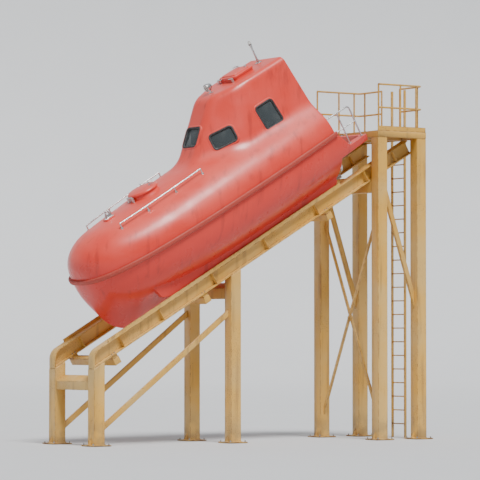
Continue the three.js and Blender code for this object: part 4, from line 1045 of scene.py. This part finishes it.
def ladder():
    x, half, top, platform_back = -1.35, 0.23, 7.64, -1.2003
    stringers = [shifted(slab(0.060, 0.024, 0.004, 0, top), x, s * half, 0) for s in BOTH_SIDES]
    rungs = [tube([(x, -half, z), (x, half, z)], 0.014, 12) for z in np.arange(1, 22) * 0.3]
    ties = [block(x, platform_back, s * half - 0.01, s * half + 0.01, 6.55, 6.60) for s in BOTH_SIDES]
    add("ladder_frame", merged(*stringers, *rungs, *ties), PAINT, place=DECK, bevel=0.002,
        replaces=["ladder"])


def release_link():
    """Two straps from the boat's hook to the platform's lug, on a headed pin at each end."""
    hook, lug = BOAT @ Vector((-0.088, 0, 0.630)), (0.1603 + 0.012, 6.585)
    ends = ((hook.x - BOAT.translation.x, hook.z), lug)
    parts = [tube([(x, s * 0.030, z) for x, z in ends], 0.008) for s in BOTH_SIDES]
    for x, z in ends:
        parts.append(tube([(x, -0.042, z), (x, 0.042, z)], 0.011))
        parts += [pin(0.017, 0.036, 0.042, (x, 0, z), axis) for axis in (ACROSS, (0, -1, 0))]
    add("release_chain", merged(*parts), GALVANISED, place=DECK, angle=40, replaces=["release_link"])


def hex_bolt(x, y, z, size):
    """A nut and its thread end on a washer."""
    nut = [(x + size * math.cos(a), y + size * math.sin(a)) for a in np.radians(range(0, 360, 60))]
    washer = pin(size * 1.35, 0, 0.004, (x, y, z), segments=20)
    body = loft([[(u, v, w) for u, v in nut] for w in (z + 0.004, z + 0.004 + size * 0.9)])
    thread = pin(size * 0.52, 0, size * 1.9, (x, y, z), segments=14)
    return merged(washer, body, thread)


def anchor_bolts():
    """Four bolts in the foot plate of each leg."""
    spread, leg_half, plate_top, size = (-0.185, 0.185), 0.125, 0.025, 0.018
    leg_fronts = ((7.0148, 0.78), (3.7, 0.78), (0.1, 1.065), (-0.95, 1.065))
    bolts = [hex_bolt(x - leg_half + u, side * y + v, plate_top, size)
             for x, y in leg_fronts for side in BOTH_SIDES for u in spread for v in spread]
    add("anchor_bolts", merged(*bolts), GALVANISED, place=DECK, angle=30)


def rail_bolts():
    """Bolts through the rails' lower flanges into each tie's packers."""
    heads = [hex_bolt(x + u, side * SKID_Y + v, RAIL_FOOT_Z, 0.013)
             for x in RAIL_TIES for side in BOTH_SIDES for u in (0.045, 0.115) for v in (-0.06, 0.06)]
    add("rail_bolts", merged(*heads), GALVANISED, angle=30)


def toe_boards():
    """Kick plates round the platform's edge, open at the ladder and at the boat."""
    low, high = PLATFORM_TOP + 0.0005, PLATFORM_TOP + 0.1005
    back, front, half, thin = -1.19, 0.09, 1.18, 0.004
    runs = [block(back, front, s * half - thin, s * half + thin, low, high) for s in BOTH_SIDES]
    runs += [block(back - thin, back + thin, *sorted((s * 0.34, s * half)), low, high) for s in BOTH_SIDES]
    add("toe_boards", merged(*runs), PAINT, place=DECK, bevel=0.002)


# CAD nodes that stay: material, width of the rounded edges, and how the nodes' names start

KEPT = (
    (GLASS, 0.002, ("window_",)),
    (CABIN, 0.01, ("cabin_sole",)),
    (CABIN, 0.03, ("engine_casing", "helm_console")),
    (SEATING, 0.03, ("helm_seat",)),
    (SEATING, 0.02, ("seats_",)),
    (STEEL, 0.006, ("skeg_shoe",)),
    (STEEL, 0.003, ("stern_tube", "release_hook", "bow_lifting_eye", "stern_lifting_eye")),
    (PAINT, 0.018, ("platform_post", "front_leg", "middle_leg", "rear_leg")),
    (TREAD, 0.004, ("platform",)),
    (PAINT, 0.005, ("ramp_rail",)),
    (PAINT, 0.010, ("rail_tie",)),
    (PAINT, 0.012, ("front_beam", "middle_beam", "rear_beam")),
    (PAINT, 0.006, ("fore_brace", "post_brace")),
    (PAINT, 0.004, ("cross_brace",)),
)


def kept_nodes():
    for name, node in NODES.items():
        if node.hide_render:
            continue
        material, width = next(row[:2] for row in KEPT if name.startswith(row[2]))
        weld = node.modifiers.new("weld", "WELD")
        weld.merge_threshold = 0.00005
        soften(node, width, segments=3, angle=30)
        node.data.materials.clear()
        node.data.materials.append(material)


camera()
studio()
hull()
skids()
aft_deck()
canopy()
coamings()
eye_pad()
fender()
windows()
aft_door()
roof_hatch()
fore_hatch()
propeller()
nozzle()
mast()
search_light()
for side_name, side_sign in (("port", 1), ("starboard", -1)):
    grab_rail(side_name, side_sign)
    stern_rail(side_name, side_sign)
    guard_rail(side_name, side_sign)
ladder()
release_link()
anchor_bolts()
rail_bolts()
toe_boards()
kept_nodes()
